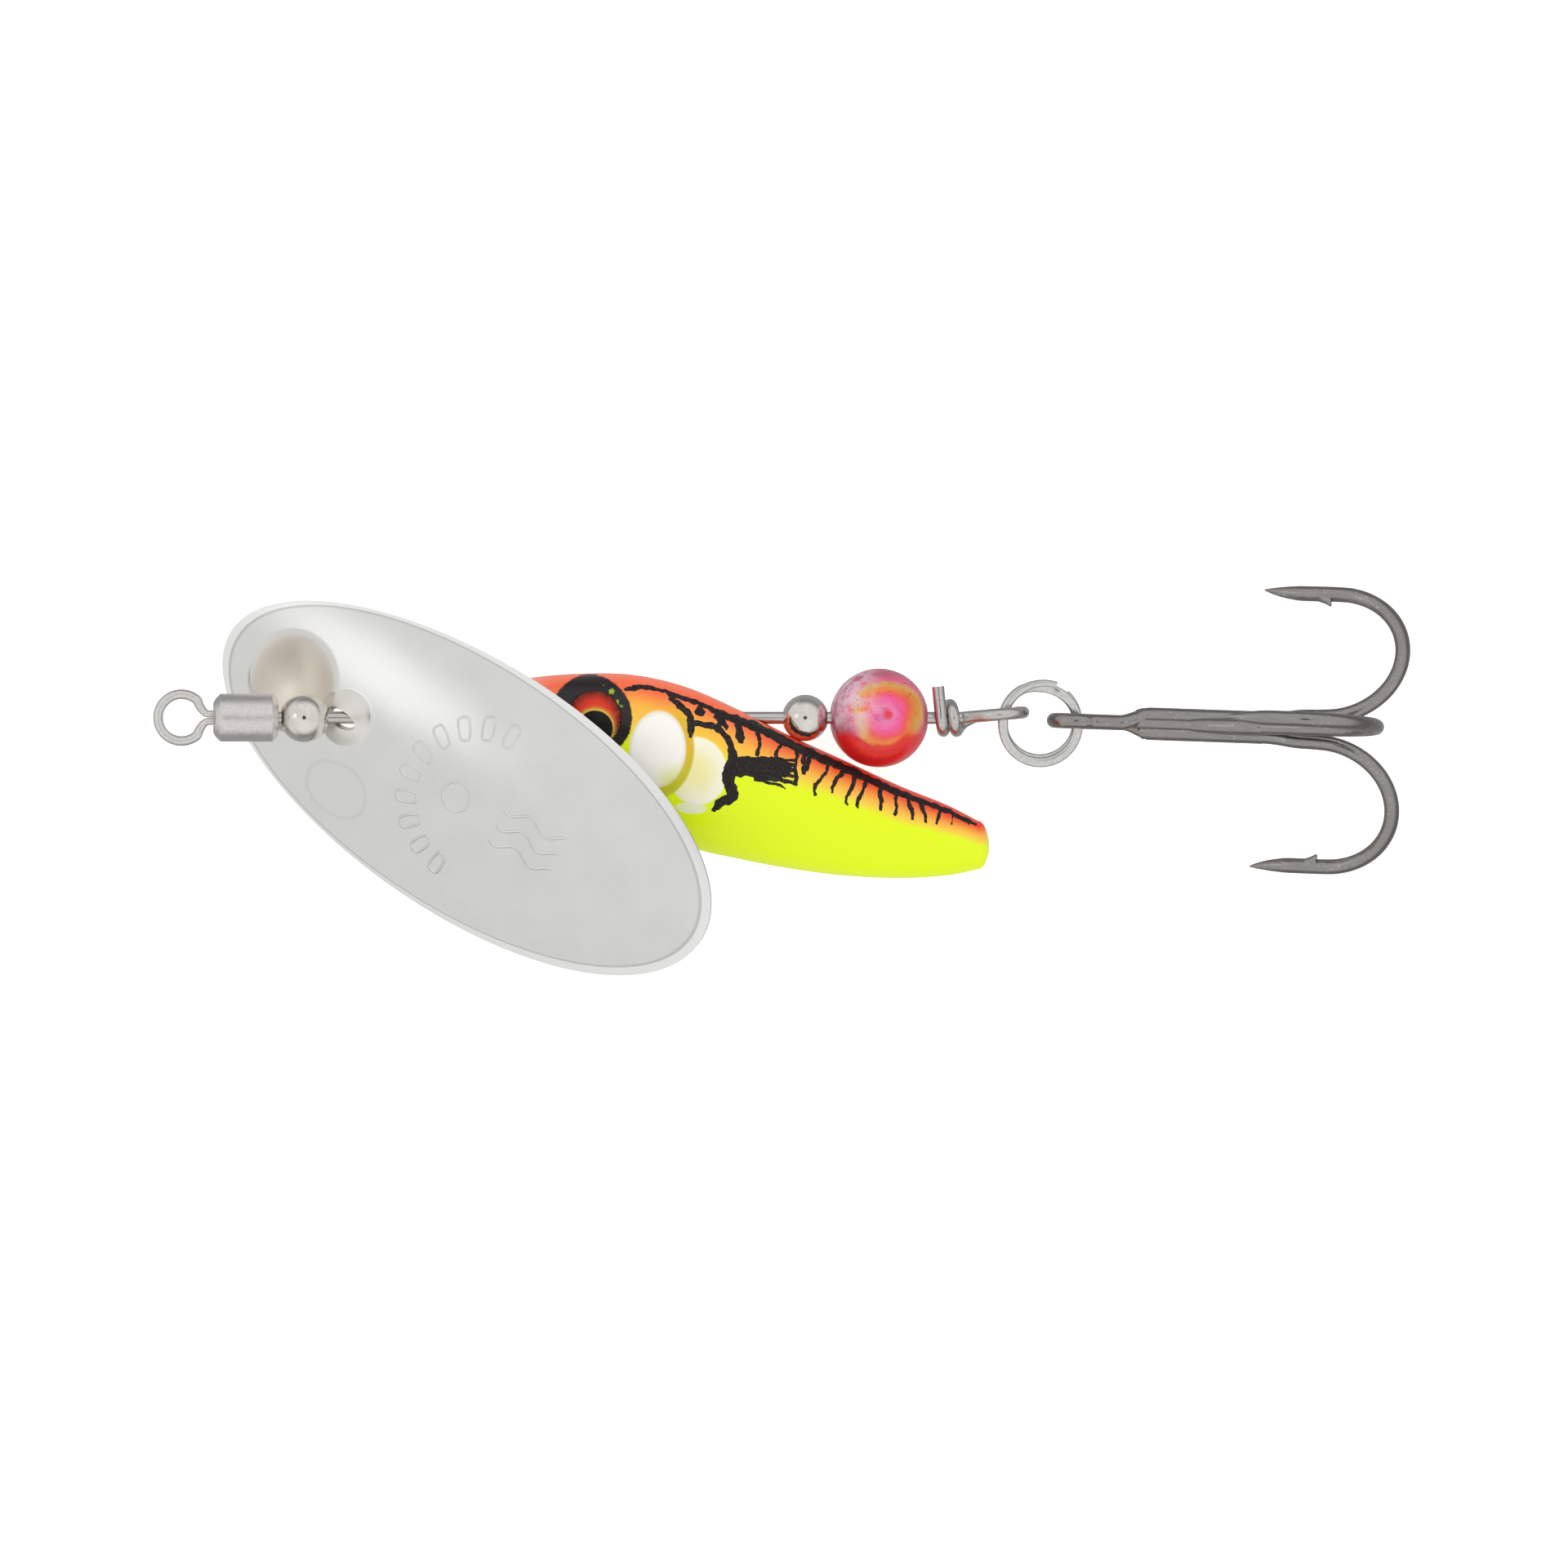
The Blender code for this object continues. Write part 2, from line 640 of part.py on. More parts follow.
def build():
    clear_scene()
    steel = material("stainless_wire", (0.62, 0.61, 0.6), 0.22, 1.0)
    nickel = material("satin_nickel", (0.6, 0.58, 0.57), 0.38, 1.0)
    polished = material("polished_nickel", (0.72, 0.71, 0.67), 0.12, 1.0)
    silver = material("silver_plate", (0.78, 0.77, 0.74), 0.1, 1.0)
    brass = material("brass_bead", (0.66, 0.5, 0.22), 0.25, 1.0)
    paint = material("body_paint", (0.62, 0.86, 0.05), 0.18, 0.0)
    foil = material("eye_print", (0.85, 0.16, 0.02), 0.3, 0.0)
    lens = material("eye_lens", (0.9, 0.55, 0.1), 0.05, 0.0, 0.4)
    red = material("red_glass_bead", (0.8, 0.05, 0.03), 0.08, 0.0)
    ring_steel = material("ring_steel", (0.55, 0.54, 0.53), 0.25, 1.0)
    black_nickel = material("black_nickel", (0.16, 0.14, 0.14), 0.22, 1.0)

    root = empty("lure", None, (0, 0, 0))
    root.rotation_euler = (0, LURE_PITCH, 0)
    bore = WIRE_R + WIRE_BORE_CLEARANCE

    add_piece("shaft_wire", shaft_wire_mesh(), steel, root)

    barrel_x = BARREL_FRONT_X + BARREL_LENGTH / 2
    barrel_spin = empty("barrel_spin", root, X * barrel_x)
    add_piece("swivel_barrel", lathe("swivel_barrel", barrel_profile()), nickel, barrel_spin, 30.0)
    eye_spin = empty("eye_spin", barrel_spin, X * 0)
    eye = add_piece("swivel_eye", swivel_eye_mesh(), nickel, eye_spin)
    eye.location = X * -barrel_x
    near = BARREL_FRONT_X + BARREL_WALL + 0.12 * MM
    head = rod_mesh("eye_head", EYE_HEAD_R, near, near + EYE_HEAD_LENGTH, 20)
    helper = boolean(eye, "UNION", head, eye_spin, "eye_head")
    helper.location = X * -barrel_x

    blade_spin = empty("blade_spin", root, X * FRONT_BEAD_X)
    add_piece("front_bead", lathe("front_bead", bead_profile(FRONT_BEAD_R, bore)), polished, blade_spin)
    blade_flare = empty("blade_flare", blade_spin, X * (BLADE_HOLE_X - FRONT_BEAD_X))
    blade = add_piece("blade", blade_mesh(), silver, blade_flare, 50.0)
    blade.matrix_basis = blade_pose()

    for name, x, radius, look in (
        ("bearing_bead", BEARING_X, BEARING_R, brass),
        ("rear_bead", REAR_BEAD_X, REAR_BEAD_R, polished),
        ("red_bead", RED_BEAD_X, RED_BEAD_R, red),
    ):
        spin = empty(name + "_spin", root, X * x)
        steps = 16 if radius > 2 * MM else 12
        segments = 40 if radius > 2 * MM else ROUND_SEGMENTS
        add_piece(name, lathe(name, bead_profile(radius, bore, steps), segments), look, spin)

    body_spin = empty("body_spin", root, (0, 0, 0))
    body_spin.rotation_euler = (BODY_ROLL, 0, 0)
    body = add_piece("lure_body", body_mesh(), paint, body_spin, 45.0)
    nose = BODY_STATIONS[0][0] * MM
    hole = rod_mesh("body_bore", WIRE_R + BODY_BORE_CLEARANCE, nose - 0.5 * MM, 0.9 * MM, 24)
    boolean(body, "DIFFERENCE", hole, body_spin, "body_bore")
    for side, word in ((1, "near"), (-1, "far")):
        turn = Matrix.Rotation(0.0 if side > 0 else math.pi, 4, "X")
        place = Matrix.Translation(X * EYE_X + Y * EYE_Y) @ turn
        socket = disc_mesh("eye_socket_" + word, EYE_R + EYE_GAP, EYE_FLOOR, 4 * MM)
        cutter = boolean(body, "DIFFERENCE", socket, body_spin, "eye_socket_" + word)
        cutter.matrix_basis = place
        low = EYE_FLOOR + EYE_GAP
        print_disc = disc_mesh("eye_foil_" + word, EYE_R, low, low + EYE_FOIL)
        add_piece("eye_foil_" + word, print_disc, foil, body_spin).matrix_basis = place
        dome = dome_mesh("eye_dome_" + word, EYE_R, low + EYE_FOIL + EYE_GAP, EYE_TOP)
        add_piece("eye_dome_" + word, dome, lens, body_spin).matrix_basis = place

    ring_swing = empty("ring_swing", root, RING_SWING_AT)
    ring = add_piece("split_ring", split_ring_mesh(), ring_steel, ring_swing, 30.0)
    ring.location = RING_CENTRE - RING_SWING_AT
    ring.rotation_euler = (RING_ROLL, 0, 0)

    bar = RING_CENTRE + X * (RING_OUTER_R - RING_WIDTH / 2)
    hook_swing = empty("hook_swing", ring_swing, bar - RING_SWING_AT)
    lean = Matrix.Rotation(TREBLE_YAW, 4, "Z") @ Matrix.Rotation(-TREBLE_PITCH, 4, "Y")
    place = Matrix.Translation(TREBLE_EYE - bar) @ lean
    double = add_piece("treble_double_wire", treble_double_mesh(), black_nickel, hook_swing)
    double.matrix_basis = place
    for word, angle, shorter in (("near", -30.0, 0.0), ("far", 210.0, FAR_HOOK_SHORTER)):
        barb = barb_mesh("barb_" + word, math.radians(angle), shorter)
        boolean(double, "UNION", barb, hook_swing, "barb_" + word).matrix_basis = place
    third = add_piece("treble_third_wire", treble_third_mesh(), black_nickel, hook_swing)
    third.matrix_basis = place
    barb = barb_mesh("barb_top", math.pi / 2 + THIRD_HOOK_ROLL)
    boolean(third, "UNION", barb, hook_swing, "barb_top").matrix_basis = place
    braze = add_piece("treble_braze", braze_mesh(), black_nickel, hook_swing)
    braze.matrix_basis = place
    return root


def set_on_ground(root):
    """Moves the whole lure so that the centre of its underside is the origin."""
    bpy.context.view_layer.update()
    graph = bpy.context.evaluated_depsgraph_get()
    low = Vector((1, 1, 1))
    high = Vector((-1, -1, -1))
    for obj in bpy.data.objects:
        if obj.type != "MESH" or obj.hide_render:
            continue
        seen = obj.evaluated_get(graph)
        for vertex in seen.data.vertices:
            place = seen.matrix_world @ vertex.co
            low = Vector(min(a, b) for a, b in zip(low, place))
            high = Vector(max(a, b) for a, b in zip(high, place))
    root.location = (-(low.x + high.x) / 2, -(low.y + high.y) / 2, -low.z)
    bpy.context.view_layer.update()


set_on_ground(build())
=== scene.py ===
"""Looks for an inline spinner: plated blade, painted fish body, beads and hooks on one steel wire."""

import json
import math

import bmesh
import bpy
from mathutils import Matrix, Vector


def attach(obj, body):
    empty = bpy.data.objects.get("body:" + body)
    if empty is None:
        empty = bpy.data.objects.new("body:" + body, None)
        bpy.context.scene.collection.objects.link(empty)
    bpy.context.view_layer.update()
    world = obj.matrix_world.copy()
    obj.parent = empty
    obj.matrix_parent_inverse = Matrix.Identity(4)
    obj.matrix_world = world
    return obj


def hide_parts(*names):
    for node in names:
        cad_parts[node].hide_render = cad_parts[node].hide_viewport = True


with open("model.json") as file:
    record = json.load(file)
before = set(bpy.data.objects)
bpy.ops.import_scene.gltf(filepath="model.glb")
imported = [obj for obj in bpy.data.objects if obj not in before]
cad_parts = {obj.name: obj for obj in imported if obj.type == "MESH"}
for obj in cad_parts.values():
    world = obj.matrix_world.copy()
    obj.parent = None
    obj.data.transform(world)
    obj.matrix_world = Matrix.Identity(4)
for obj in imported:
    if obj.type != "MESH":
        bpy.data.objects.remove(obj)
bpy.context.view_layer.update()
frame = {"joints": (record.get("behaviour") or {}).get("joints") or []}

bl_info = {
    "name": "Inline Spinner",
    "version": (1, 0, 0),
    "blender": (4, 5, 0),
    "location": "View3D > Sidebar > Spinner",
    "description": "Builds the visible pieces of an inline spinner on its packed frame",
    "category": "Object",
}

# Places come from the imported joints. Lengths below are millimetres in the wire's own frame:
# X along the wire from the line tie to the hooks, Y to the back of the fish, Z towards the near side.
MM = 0.001
JOINTS = {joint["name"]: joint for joint in frame["joints"]}
WIRE_WAY = Vector(JOINTS["body_spin"]["axis"])
LAY = (
    Matrix.Translation(JOINTS["body_spin"]["pos_m"])
    @ Matrix.Rotation(math.asin(-WIRE_WAY.z), 4, "Y")
    @ Matrix.Scale(MM, 4)
)
X = Vector((1, 0, 0))
Y = Vector((0, 1, 0))
Z = Vector((0, 0, 1))

BODY_POSE = LAY @ Matrix.Rotation(math.radians(5.0), 4, "X")
BLADE_AT = LAY.inverted() @ Vector(JOINTS["blade_flare"]["pos_m"])
BLADE_POSE = (
    LAY
    @ Matrix.Translation(BLADE_AT)
    @ Matrix.Rotation(math.radians(8.0), 4, "X")
    @ Matrix.Rotation(math.radians(-25.0), 4, "Y")
    @ Matrix.Rotation(math.radians(-27.7), 4, "Z")
)
RING_POSE = LAY @ Matrix.Translation((14.6, -0.38, -0.22)) @ Matrix.Rotation(math.radians(8.0), 4, "X")
TREBLE_POSE = (
    LAY
    @ Matrix.Translation((16.62, -0.18, -0.25))
    @ Matrix.Rotation(math.radians(-2.1), 4, "Z")
    @ Matrix.Rotation(math.radians(-17.2), 4, "Y")
)


def along_wire(joint):
    return (LAY.inverted() @ Vector(JOINTS[joint]["pos_m"])).x


# Fish body: x, back, belly and half thickness
BODY_STATIONS = (
    (-18.35, 0.95, -0.95, 0.9),
    (-16.8, 1.7, -1.35, 1.45),
    (-14.2, 2.27, -2.1, 2.05),
    (-11.2, 2.5, -3.35, 2.5),
    (-8.4, 2.42, -5.2, 2.75),
    (-5.5, 1.75, -7.2, 2.8),
    (-2.4, 0.4, -8.02, 2.7),
    (0.4, -1.02, -8.55, 2.5),
    (3.4, -2.38, -8.95, 2.2),
    (6.6, -3.85, -9.1, 1.85),
    (9.4, -4.98, -8.95, 1.5),
    (11.1, -5.85, -8.6, 1.15),
)
EYE_PLACE = (-10.76, 0.2)
PAINT_SHIFT = 0.2

GILL_ONE = ((-7.22, -1.78), (1.6, 2.16))
GILL_TWO = ((-5.0, -3.0), (1.72, 1.95))

# Painted lines on the fish: (x, y, half width) along each stroke
BRUSH_STROKES = (
    ((-9.02, 1.52, 0.113), (-8.65, 1.63, 0.113), (-8.12, 1.67, 0.104), (-7.55, 1.59, 0.113),
     (-6.8, 1.41, 0.113), (-6.14, 1.18, 0.123), (-5.38, 0.93, 0.113), (-4.63, 0.65, 0.113),
     (-3.97, 0.31, 0.123), (-3.31, 0.05, 0.132), (-2.65, -0.22, 0.132), (-1.99, -0.48, 0.132),
     (-1.33, -0.78, 0.132), (-0.58, -1.08, 0.132), (0.18, -1.35, 0.132), (0.93, -1.65, 0.141),
     (1.69, -2.03, 0.141), (2.54, -2.42, 0.132), (3.38, -2.8, 0.123), (4.33, -3.23, 0.123),
     (5.27, -3.69, 0.123), (6.02, -4.04, 0.113), (6.78, -4.4, 0.104), (7.53, -4.67, 0.094),
     (8.48, -5.01, 0.085), (9.42, -5.33, 0.075), (10.36, -5.67, 0.066), (10.96, -5.85, 0.047)),
    ((-6.46, 1.18, 0.094), (-6.23, 0.88, 0.113), (-5.86, 0.58, 0.132), (-5.38, 0.14, 0.141),
     (-5.33, -0.29, 0.141), (-4.72, -0.37, 0.113), (-4.16, -0.48, 0.113), (-3.59, -0.8, 0.123),
     (-3.29, -1.14, 0.132), (-3.1, -1.55, 0.132), (-2.99, -2.03, 0.2), (-3.03, -2.59, 0.25),
     (-3.18, -3.06, 0.26), (-3.22, -3.53, 0.26), (-3.07, -4.01, 0.24), (-2.99, -4.44, 0.23),
     (-3.4, -4.63, 0.2), (-3.78, -4.85, 0.17), (-4.08, -5.31, 0.085)),
    ((-5.37, -0.14, 0.141), (-5.31, -0.61, 0.123), (-5.38, -1.12, 0.075)),
    ((-5.01, 0.46, 0.132), (-4.8, 0.31, 0.189), (-4.57, 0.12, 0.113)),
    ((-3.93, 0.12, 0.113), (-3.59, -0.22, 0.132), (-3.22, -0.63, 0.094)),
    ((-3.37, -0.14, 0.075), (-3.67, -0.37, 0.123), (-3.93, -0.78, 0.075)),
    ((-2.73, -0.37, 0.113), (-2.57, -0.74, 0.151), (-2.5, -1.12, 0.17), (-2.54, -1.46, 0.113)),
    ((-1.56, -0.86, 0.085), (-1.44, -1.31, 0.075), (-1.48, -1.8, 0.075), (-1.63, -2.18, 0.085)),
    ((-0.09, -1.42, 0.085), (-0.31, -1.74, 0.075), (-0.46, -2.03, 0.075), (-0.5, -2.33, 0.085)),
    ((0.59, -1.74, 0.075), (0.71, -2.21, 0.075), (0.59, -2.82, 0.066), (0.63, -3.35, 0.075),
     (0.56, -3.84, 0.075)),
    ((1.16, -2.03, 0.094), (1.08, -2.33, 0.085), (1.01, -2.67, 0.057)),
    ((1.46, -2.14, 0.094), (1.35, -2.52, 0.132), (1.16, -2.89, 0.132), (1.08, -3.23, 0.075)),
    ((2.55, -2.48, 0.085), (2.44, -2.89, 0.075), (2.18, -3.35, 0.075), (1.88, -3.65, 0.085),
     (1.65, -4.03, 0.085), (1.72, -4.44, 0.057)),
    ((3.46, -2.86, 0.085), (3.27, -3.2, 0.085), (2.93, -3.53, 0.075), (2.71, -3.91, 0.075),
     (2.74, -4.29, 0.057)),
    ((3.99, -3.31, 0.085), (3.87, -3.84, 0.085), (3.61, -4.33, 0.075), (3.46, -4.63, 0.075),
     (3.53, -4.97, 0.057)),
    ((4.67, -3.53, 0.085), (4.52, -4.06, 0.085), (4.25, -4.48, 0.075), (4.1, -4.82, 0.075),
     (4.14, -5.12, 0.057)),
    ((5.5, -3.84, 0.094), (5.42, -4.36, 0.085), (5.5, -4.82, 0.075), (5.38, -5.23, 0.057)),
    ((6.4, -4.36, 0.075), (6.33, -4.82, 0.075), (6.36, -5.16, 0.075), (6.21, -5.57, 0.057)),
    ((7.12, -4.59, 0.094), (7.04, -4.97, 0.085), (7.23, -5.35, 0.075), (7.23, -5.8, 0.057)),
    ((7.83, -4.78, 0.094), (7.8, -5.19, 0.085), (7.99, -5.57, 0.075), (8.02, -6.02, 0.057)),
    ((8.89, -5.16, 0.075), (8.81, -5.53, 0.066), (8.66, -5.84, 0.066), (8.63, -6.06, 0.047)),
    ((9.64, -5.42, 0.075), (9.57, -5.72, 0.066), (9.46, -6.14, 0.047)),
    ((10.55, -5.72, 0.066), (10.49, -5.99, 0.066), (10.51, -6.23, 0.047)),
    ((-2.46, -0.14, 0.057), (-1.71, -0.37, 0.066), (-0.76, -0.74, 0.075), (0.18, -1.08, 0.075),
     (0.74, -1.31, 0.066)),
    ((0.18, -1.08, 0.066), (0.03, -1.39, 0.057)),
    ((1.31, -1.69, 0.075), (1.12, -2.06, 0.066)),
    ((2.06, -2.03, 0.075), (1.88, -2.33, 0.066)),
    ((2.91, -2.37, 0.075), (2.78, -2.74, 0.057)),
    ((4.89, -3.27, 0.075), (4.82, -3.65, 0.066)),
    ((5.84, -3.72, 0.075), (5.72, -4.14, 0.057)),
    ((0.93, -1.42, 0.057), (1.88, -1.84, 0.075), (3.01, -2.37, 0.075), (4.14, -2.93, 0.085),
     (5.08, -3.42, 0.085), (6.02, -3.91, 0.075), (6.97, -4.36, 0.047)),
    ((-3.07, -2.82, 0.283), (-2.65, -2.78, 0.396), (-2.08, -2.76, 0.396), (-1.48, -2.82, 0.434),
     (-0.99, -2.89, 0.321)),
    ((-2.65, -2.44, 0.132), (-1.9, -2.4, 0.132), (-0.95, -2.33, 0.094), (-0.2, -2.4, 0.075),
     (0.59, -2.44, 0.057)),
    ((-1.71, -2.67, 0.189), (-0.76, -2.59, 0.151), (-0.01, -2.67, 0.132), (0.63, -2.74, 0.057)),
    ((-1.52, -2.93, 0.17), (-0.58, -2.89, 0.151), (0.18, -2.97, 0.113), (0.67, -2.97, 0.047)),
    ((-1.71, -3.2, 0.17), (-0.76, -3.16, 0.132), (-0.01, -3.23, 0.113), (0.59, -3.31, 0.047)),
    ((-1.8, -3.42, 0.113), (-0.95, -3.42, 0.094), (-0.2, -3.53, 0.066), (0.52, -3.61, 0.038)),
    ((-1.71, -3.53, 0.075), (-0.95, -3.65, 0.057), (-0.29, -3.8, 0.047), (-0.01, -4.01, 0.028)),
    ((-1.14, -3.31, 0.085), (-0.39, -3.42, 0.075), (0.27, -3.65, 0.057), (0.56, -3.84, 0.038)),
)

# ---------------------------------------------------------------- node sums


class Value:
    """A node's output that takes part in Python sums."""

    def __init__(self, graph, socket):
        self.graph = graph
        self.socket = socket

    def __add__(self, other):
        return self.graph.maths("ADD", self, other)

    __radd__ = __add__

    def __sub__(self, other):
        return self.graph.maths("SUBTRACT", self, other)

    def __rsub__(self, other):
        return self.graph.maths("SUBTRACT", other, self)

    def __mul__(self, other):
        return self.graph.maths("MULTIPLY", self, other)

    __rmul__ = __mul__

    def __truediv__(self, other):
        return self.graph.maths("DIVIDE", self, other)

    def __rtruediv__(self, other):
        return self.graph.maths("DIVIDE", other, self)

    def __pow__(self, other):
        return self.graph.maths("POWER", self, other)

    def __abs__(self):
        return self.graph.maths("ABSOLUTE", self)

    def least(self, other):
        return self.graph.maths("MINIMUM", self, other)

    def most(self, other):
        return self.graph.maths("MAXIMUM", self, other)

    def root(self):
        return self.graph.maths("SQRT", self)

    def step(self, low, high):
        """Rises smoothly from 0 at low to 1 at high; falls where high is below low."""
        if low > high:
            return 1 - self.step(high, low)
        settings = {"interpolation_type": "SMOOTHSTEP"}
        return self.graph.node("ShaderNodeMapRange", settings, {0: self, 1: low, 2: high})


class Graph:
    """Adds nodes to one tree and links them."""

    def __init__(self, tree):
        self.tree = tree

    def node(self, kind, settings=None, inputs=None, out=0):
        made = self.tree.nodes.new(kind)
        for name, value in (settings or {}).items():
            if name == "stops":
                ramp = made.color_ramp.elements
                while len(ramp) < len(value):
                    ramp.new(0.5)
                for element, (position, colour) in zip(ramp, value):
                    element.position = position
                    element.color = (*colour, 1.0)
            elif name == "points":
                line = made.mapping.curves[0]
                while len(line.points) < len(value):
                    line.points.new(0.5, 0.5)
                for point, place in zip(line.points, value):
                    point.location = place
                made.mapping.update()
            else:
                setattr(made, name, value)
        for key, value in (inputs or {}).items():
            socket = made.inputs[key]
            if isinstance(value, Value):
                self.tree.links.new(value.socket, socket)
            else:
                socket.default_value = value
        return Value(self, made.outputs[out]) if len(made.outputs) else made

    def maths(self, operation, *values):
        return self.node("ShaderNodeMath", {"operation": operation}, dict(enumerate(values)))

    def split(self, vector):
        made = self.node("ShaderNodeSeparateXYZ", None, {0: vector})
        outputs = made.socket.node.outputs
        return [Value(self, outputs[i]) for i in range(3)]

    def join(self, x, y, z):
        return self.node("ShaderNodeCombineXYZ", None, {0: x, 1: y, 2: z})


class Finish(Graph):
    """A material whose constants sit on the shader and whose patterns are linked to it."""

    def __init__(self, name, **constants):
        self.slot = name
        self.material = bpy.data.materials.new(name)
        self.material.use_nodes = True
        super().__init__(self.material.node_tree)
        self.shader = self.tree.nodes["Principled BSDF"]
        for key, value in constants.items():
            self.feed(key.replace("_", " ").title().replace("Ior", "IOR"), value)

    def feed(self, name, value):
        socket = self.shader.inputs[name]
        if isinstance(value, Value):
            self.tree.links.new(value.socket, socket)
        elif socket.type == "RGBA" and len(value) == 3:
            socket.default_value = (*value, 1.0)
        else:
            socket.default_value = value

    def place(self, pose):
        """Object coordinates as millimetres in a piece's own frame."""
        back = pose.inverted()
        spot = self.node("ShaderNodeTexCoord", out="Object")
        where, turn, scale = back.decompose()
        inputs = {0: spot, 1: where, 2: turn.to_euler(), 3: scale}
        return self.node("ShaderNodeMapping", {"vector_type": "POINT"}, inputs)

    def noise(self, vector, scale, detail=2.0, rough=0.5, stretch=None):
        if stretch:
            vector = self.node("ShaderNodeMapping", None, {0: vector, 3: stretch})
        inputs = {"Vector": vector, "Scale": scale, "Detail": detail, "Roughness": rough}
        return self.node("ShaderNodeTexNoise", None, inputs)

    def mix(self, factor, first, second):
        def full(colour):
            return (*colour, 1.0) if isinstance(colour, (tuple, list)) and len(colour) == 3 else colour

        settings = {"data_type": "RGBA"}
        return self.node("ShaderNodeMix", settings, {0: factor, 6: full(first), 7: full(second)}, out=2)

    def ramp(self, value, stops):
        return self.node("ShaderNodeValToRGB", {"stops": stops}, {0: value})

    def curve(self, value, points):
        """A smooth line through (x, y) points, held level past its ends."""
        low_x, high_x = points[0][0], points[-1][0]
        low_y = min(y for _, y in points)
        tall = max(y for _, y in points) - low_y
        share = ((value - low_x) / (high_x - low_x)).most(0.0).least(1.0)
        row = [((x - low_x) / (high_x - low_x), (y - low_y) / tall) for x, y in points]
        return self.node("ShaderNodeFloatCurve", {"points": row}, {1: share}) * tall + low_y

    def bump(self, height, strength, distance):
        inputs = {"Height": height, "Strength": strength, "Distance": distance}
        self.feed("Normal", self.node("ShaderNodeBump", None, inputs))


# ---------------------------------------------------------------- geometry node trees


def start_tree(name, sockets):
    """A geometry tree with named inputs; returns its graph and a dict of their values."""
    tree = bpy.data.node_groups.new(name, "GeometryNodeTree")
    tree.interface.new_socket("Geometry", in_out="INPUT", socket_type="NodeSocketGeometry")
    tree.interface.new_socket("Geometry", in_out="OUTPUT", socket_type="NodeSocketGeometry")
    for label, kind, default in sockets:
        socket = tree.interface.new_socket(label, in_out="INPUT", socket_type="NodeSocket" + kind)
        if default is not None:
            socket.default_value = default
    graph = Graph(tree)
    entry = tree.nodes.new("NodeGroupInput")
    return graph, {output.name: Value(graph, output) for output in entry.outputs if output.name}


def end_tree(graph, geometry, material):
    """Every tree ends in realised, shaded geometry with its material."""
    shaded = graph.node("GeometryNodeSetShadeSmooth", None, {"Geometry": geometry})
    real = graph.node("GeometryNodeRealizeInstances", None, {"Geometry": shaded})
    made = graph.node("GeometryNodeSetMaterial", None, {"Geometry": real, "Material": material})
    graph.node("NodeGroupOutput", None, {0: made})
    return graph.tree


def wire_tree():
    """Round wire drawn along a path, as thick at each point as its radius attribute."""
    graph, given = start_tree(
        "drawn_wire", [("Sides", "Int", 20), ("Steps", "Int", 4), ("Material", "Material", None)]
    )
    curve = graph.node("GeometryNodeMeshToCurve", None, {"Mesh": given["Geometry"]})
    curve = graph.node("GeometryNodeCurveSplineType", {"spline_type": "CATMULL_ROM"}, {"Curve": curve})
    inputs = {"Geometry": curve, "Resolution": given["Steps"]}
    curve = graph.node("GeometryNodeSetSplineResolution", None, inputs)
    ring = graph.node("GeometryNodeCurvePrimitiveCircle", None, {"Resolution": given["Sides"], "Radius": 1.0})
    thick = graph.node("GeometryNodeInputNamedAttribute", {"data_type": "FLOAT"}, {"Name": "thickness"})
    inputs = {"Curve": curve, "Profile Curve": ring, "Scale": thick, "Fill Caps": True}
    return end_tree(graph, graph.node("GeometryNodeCurveToMesh", None, inputs), given["Material"])


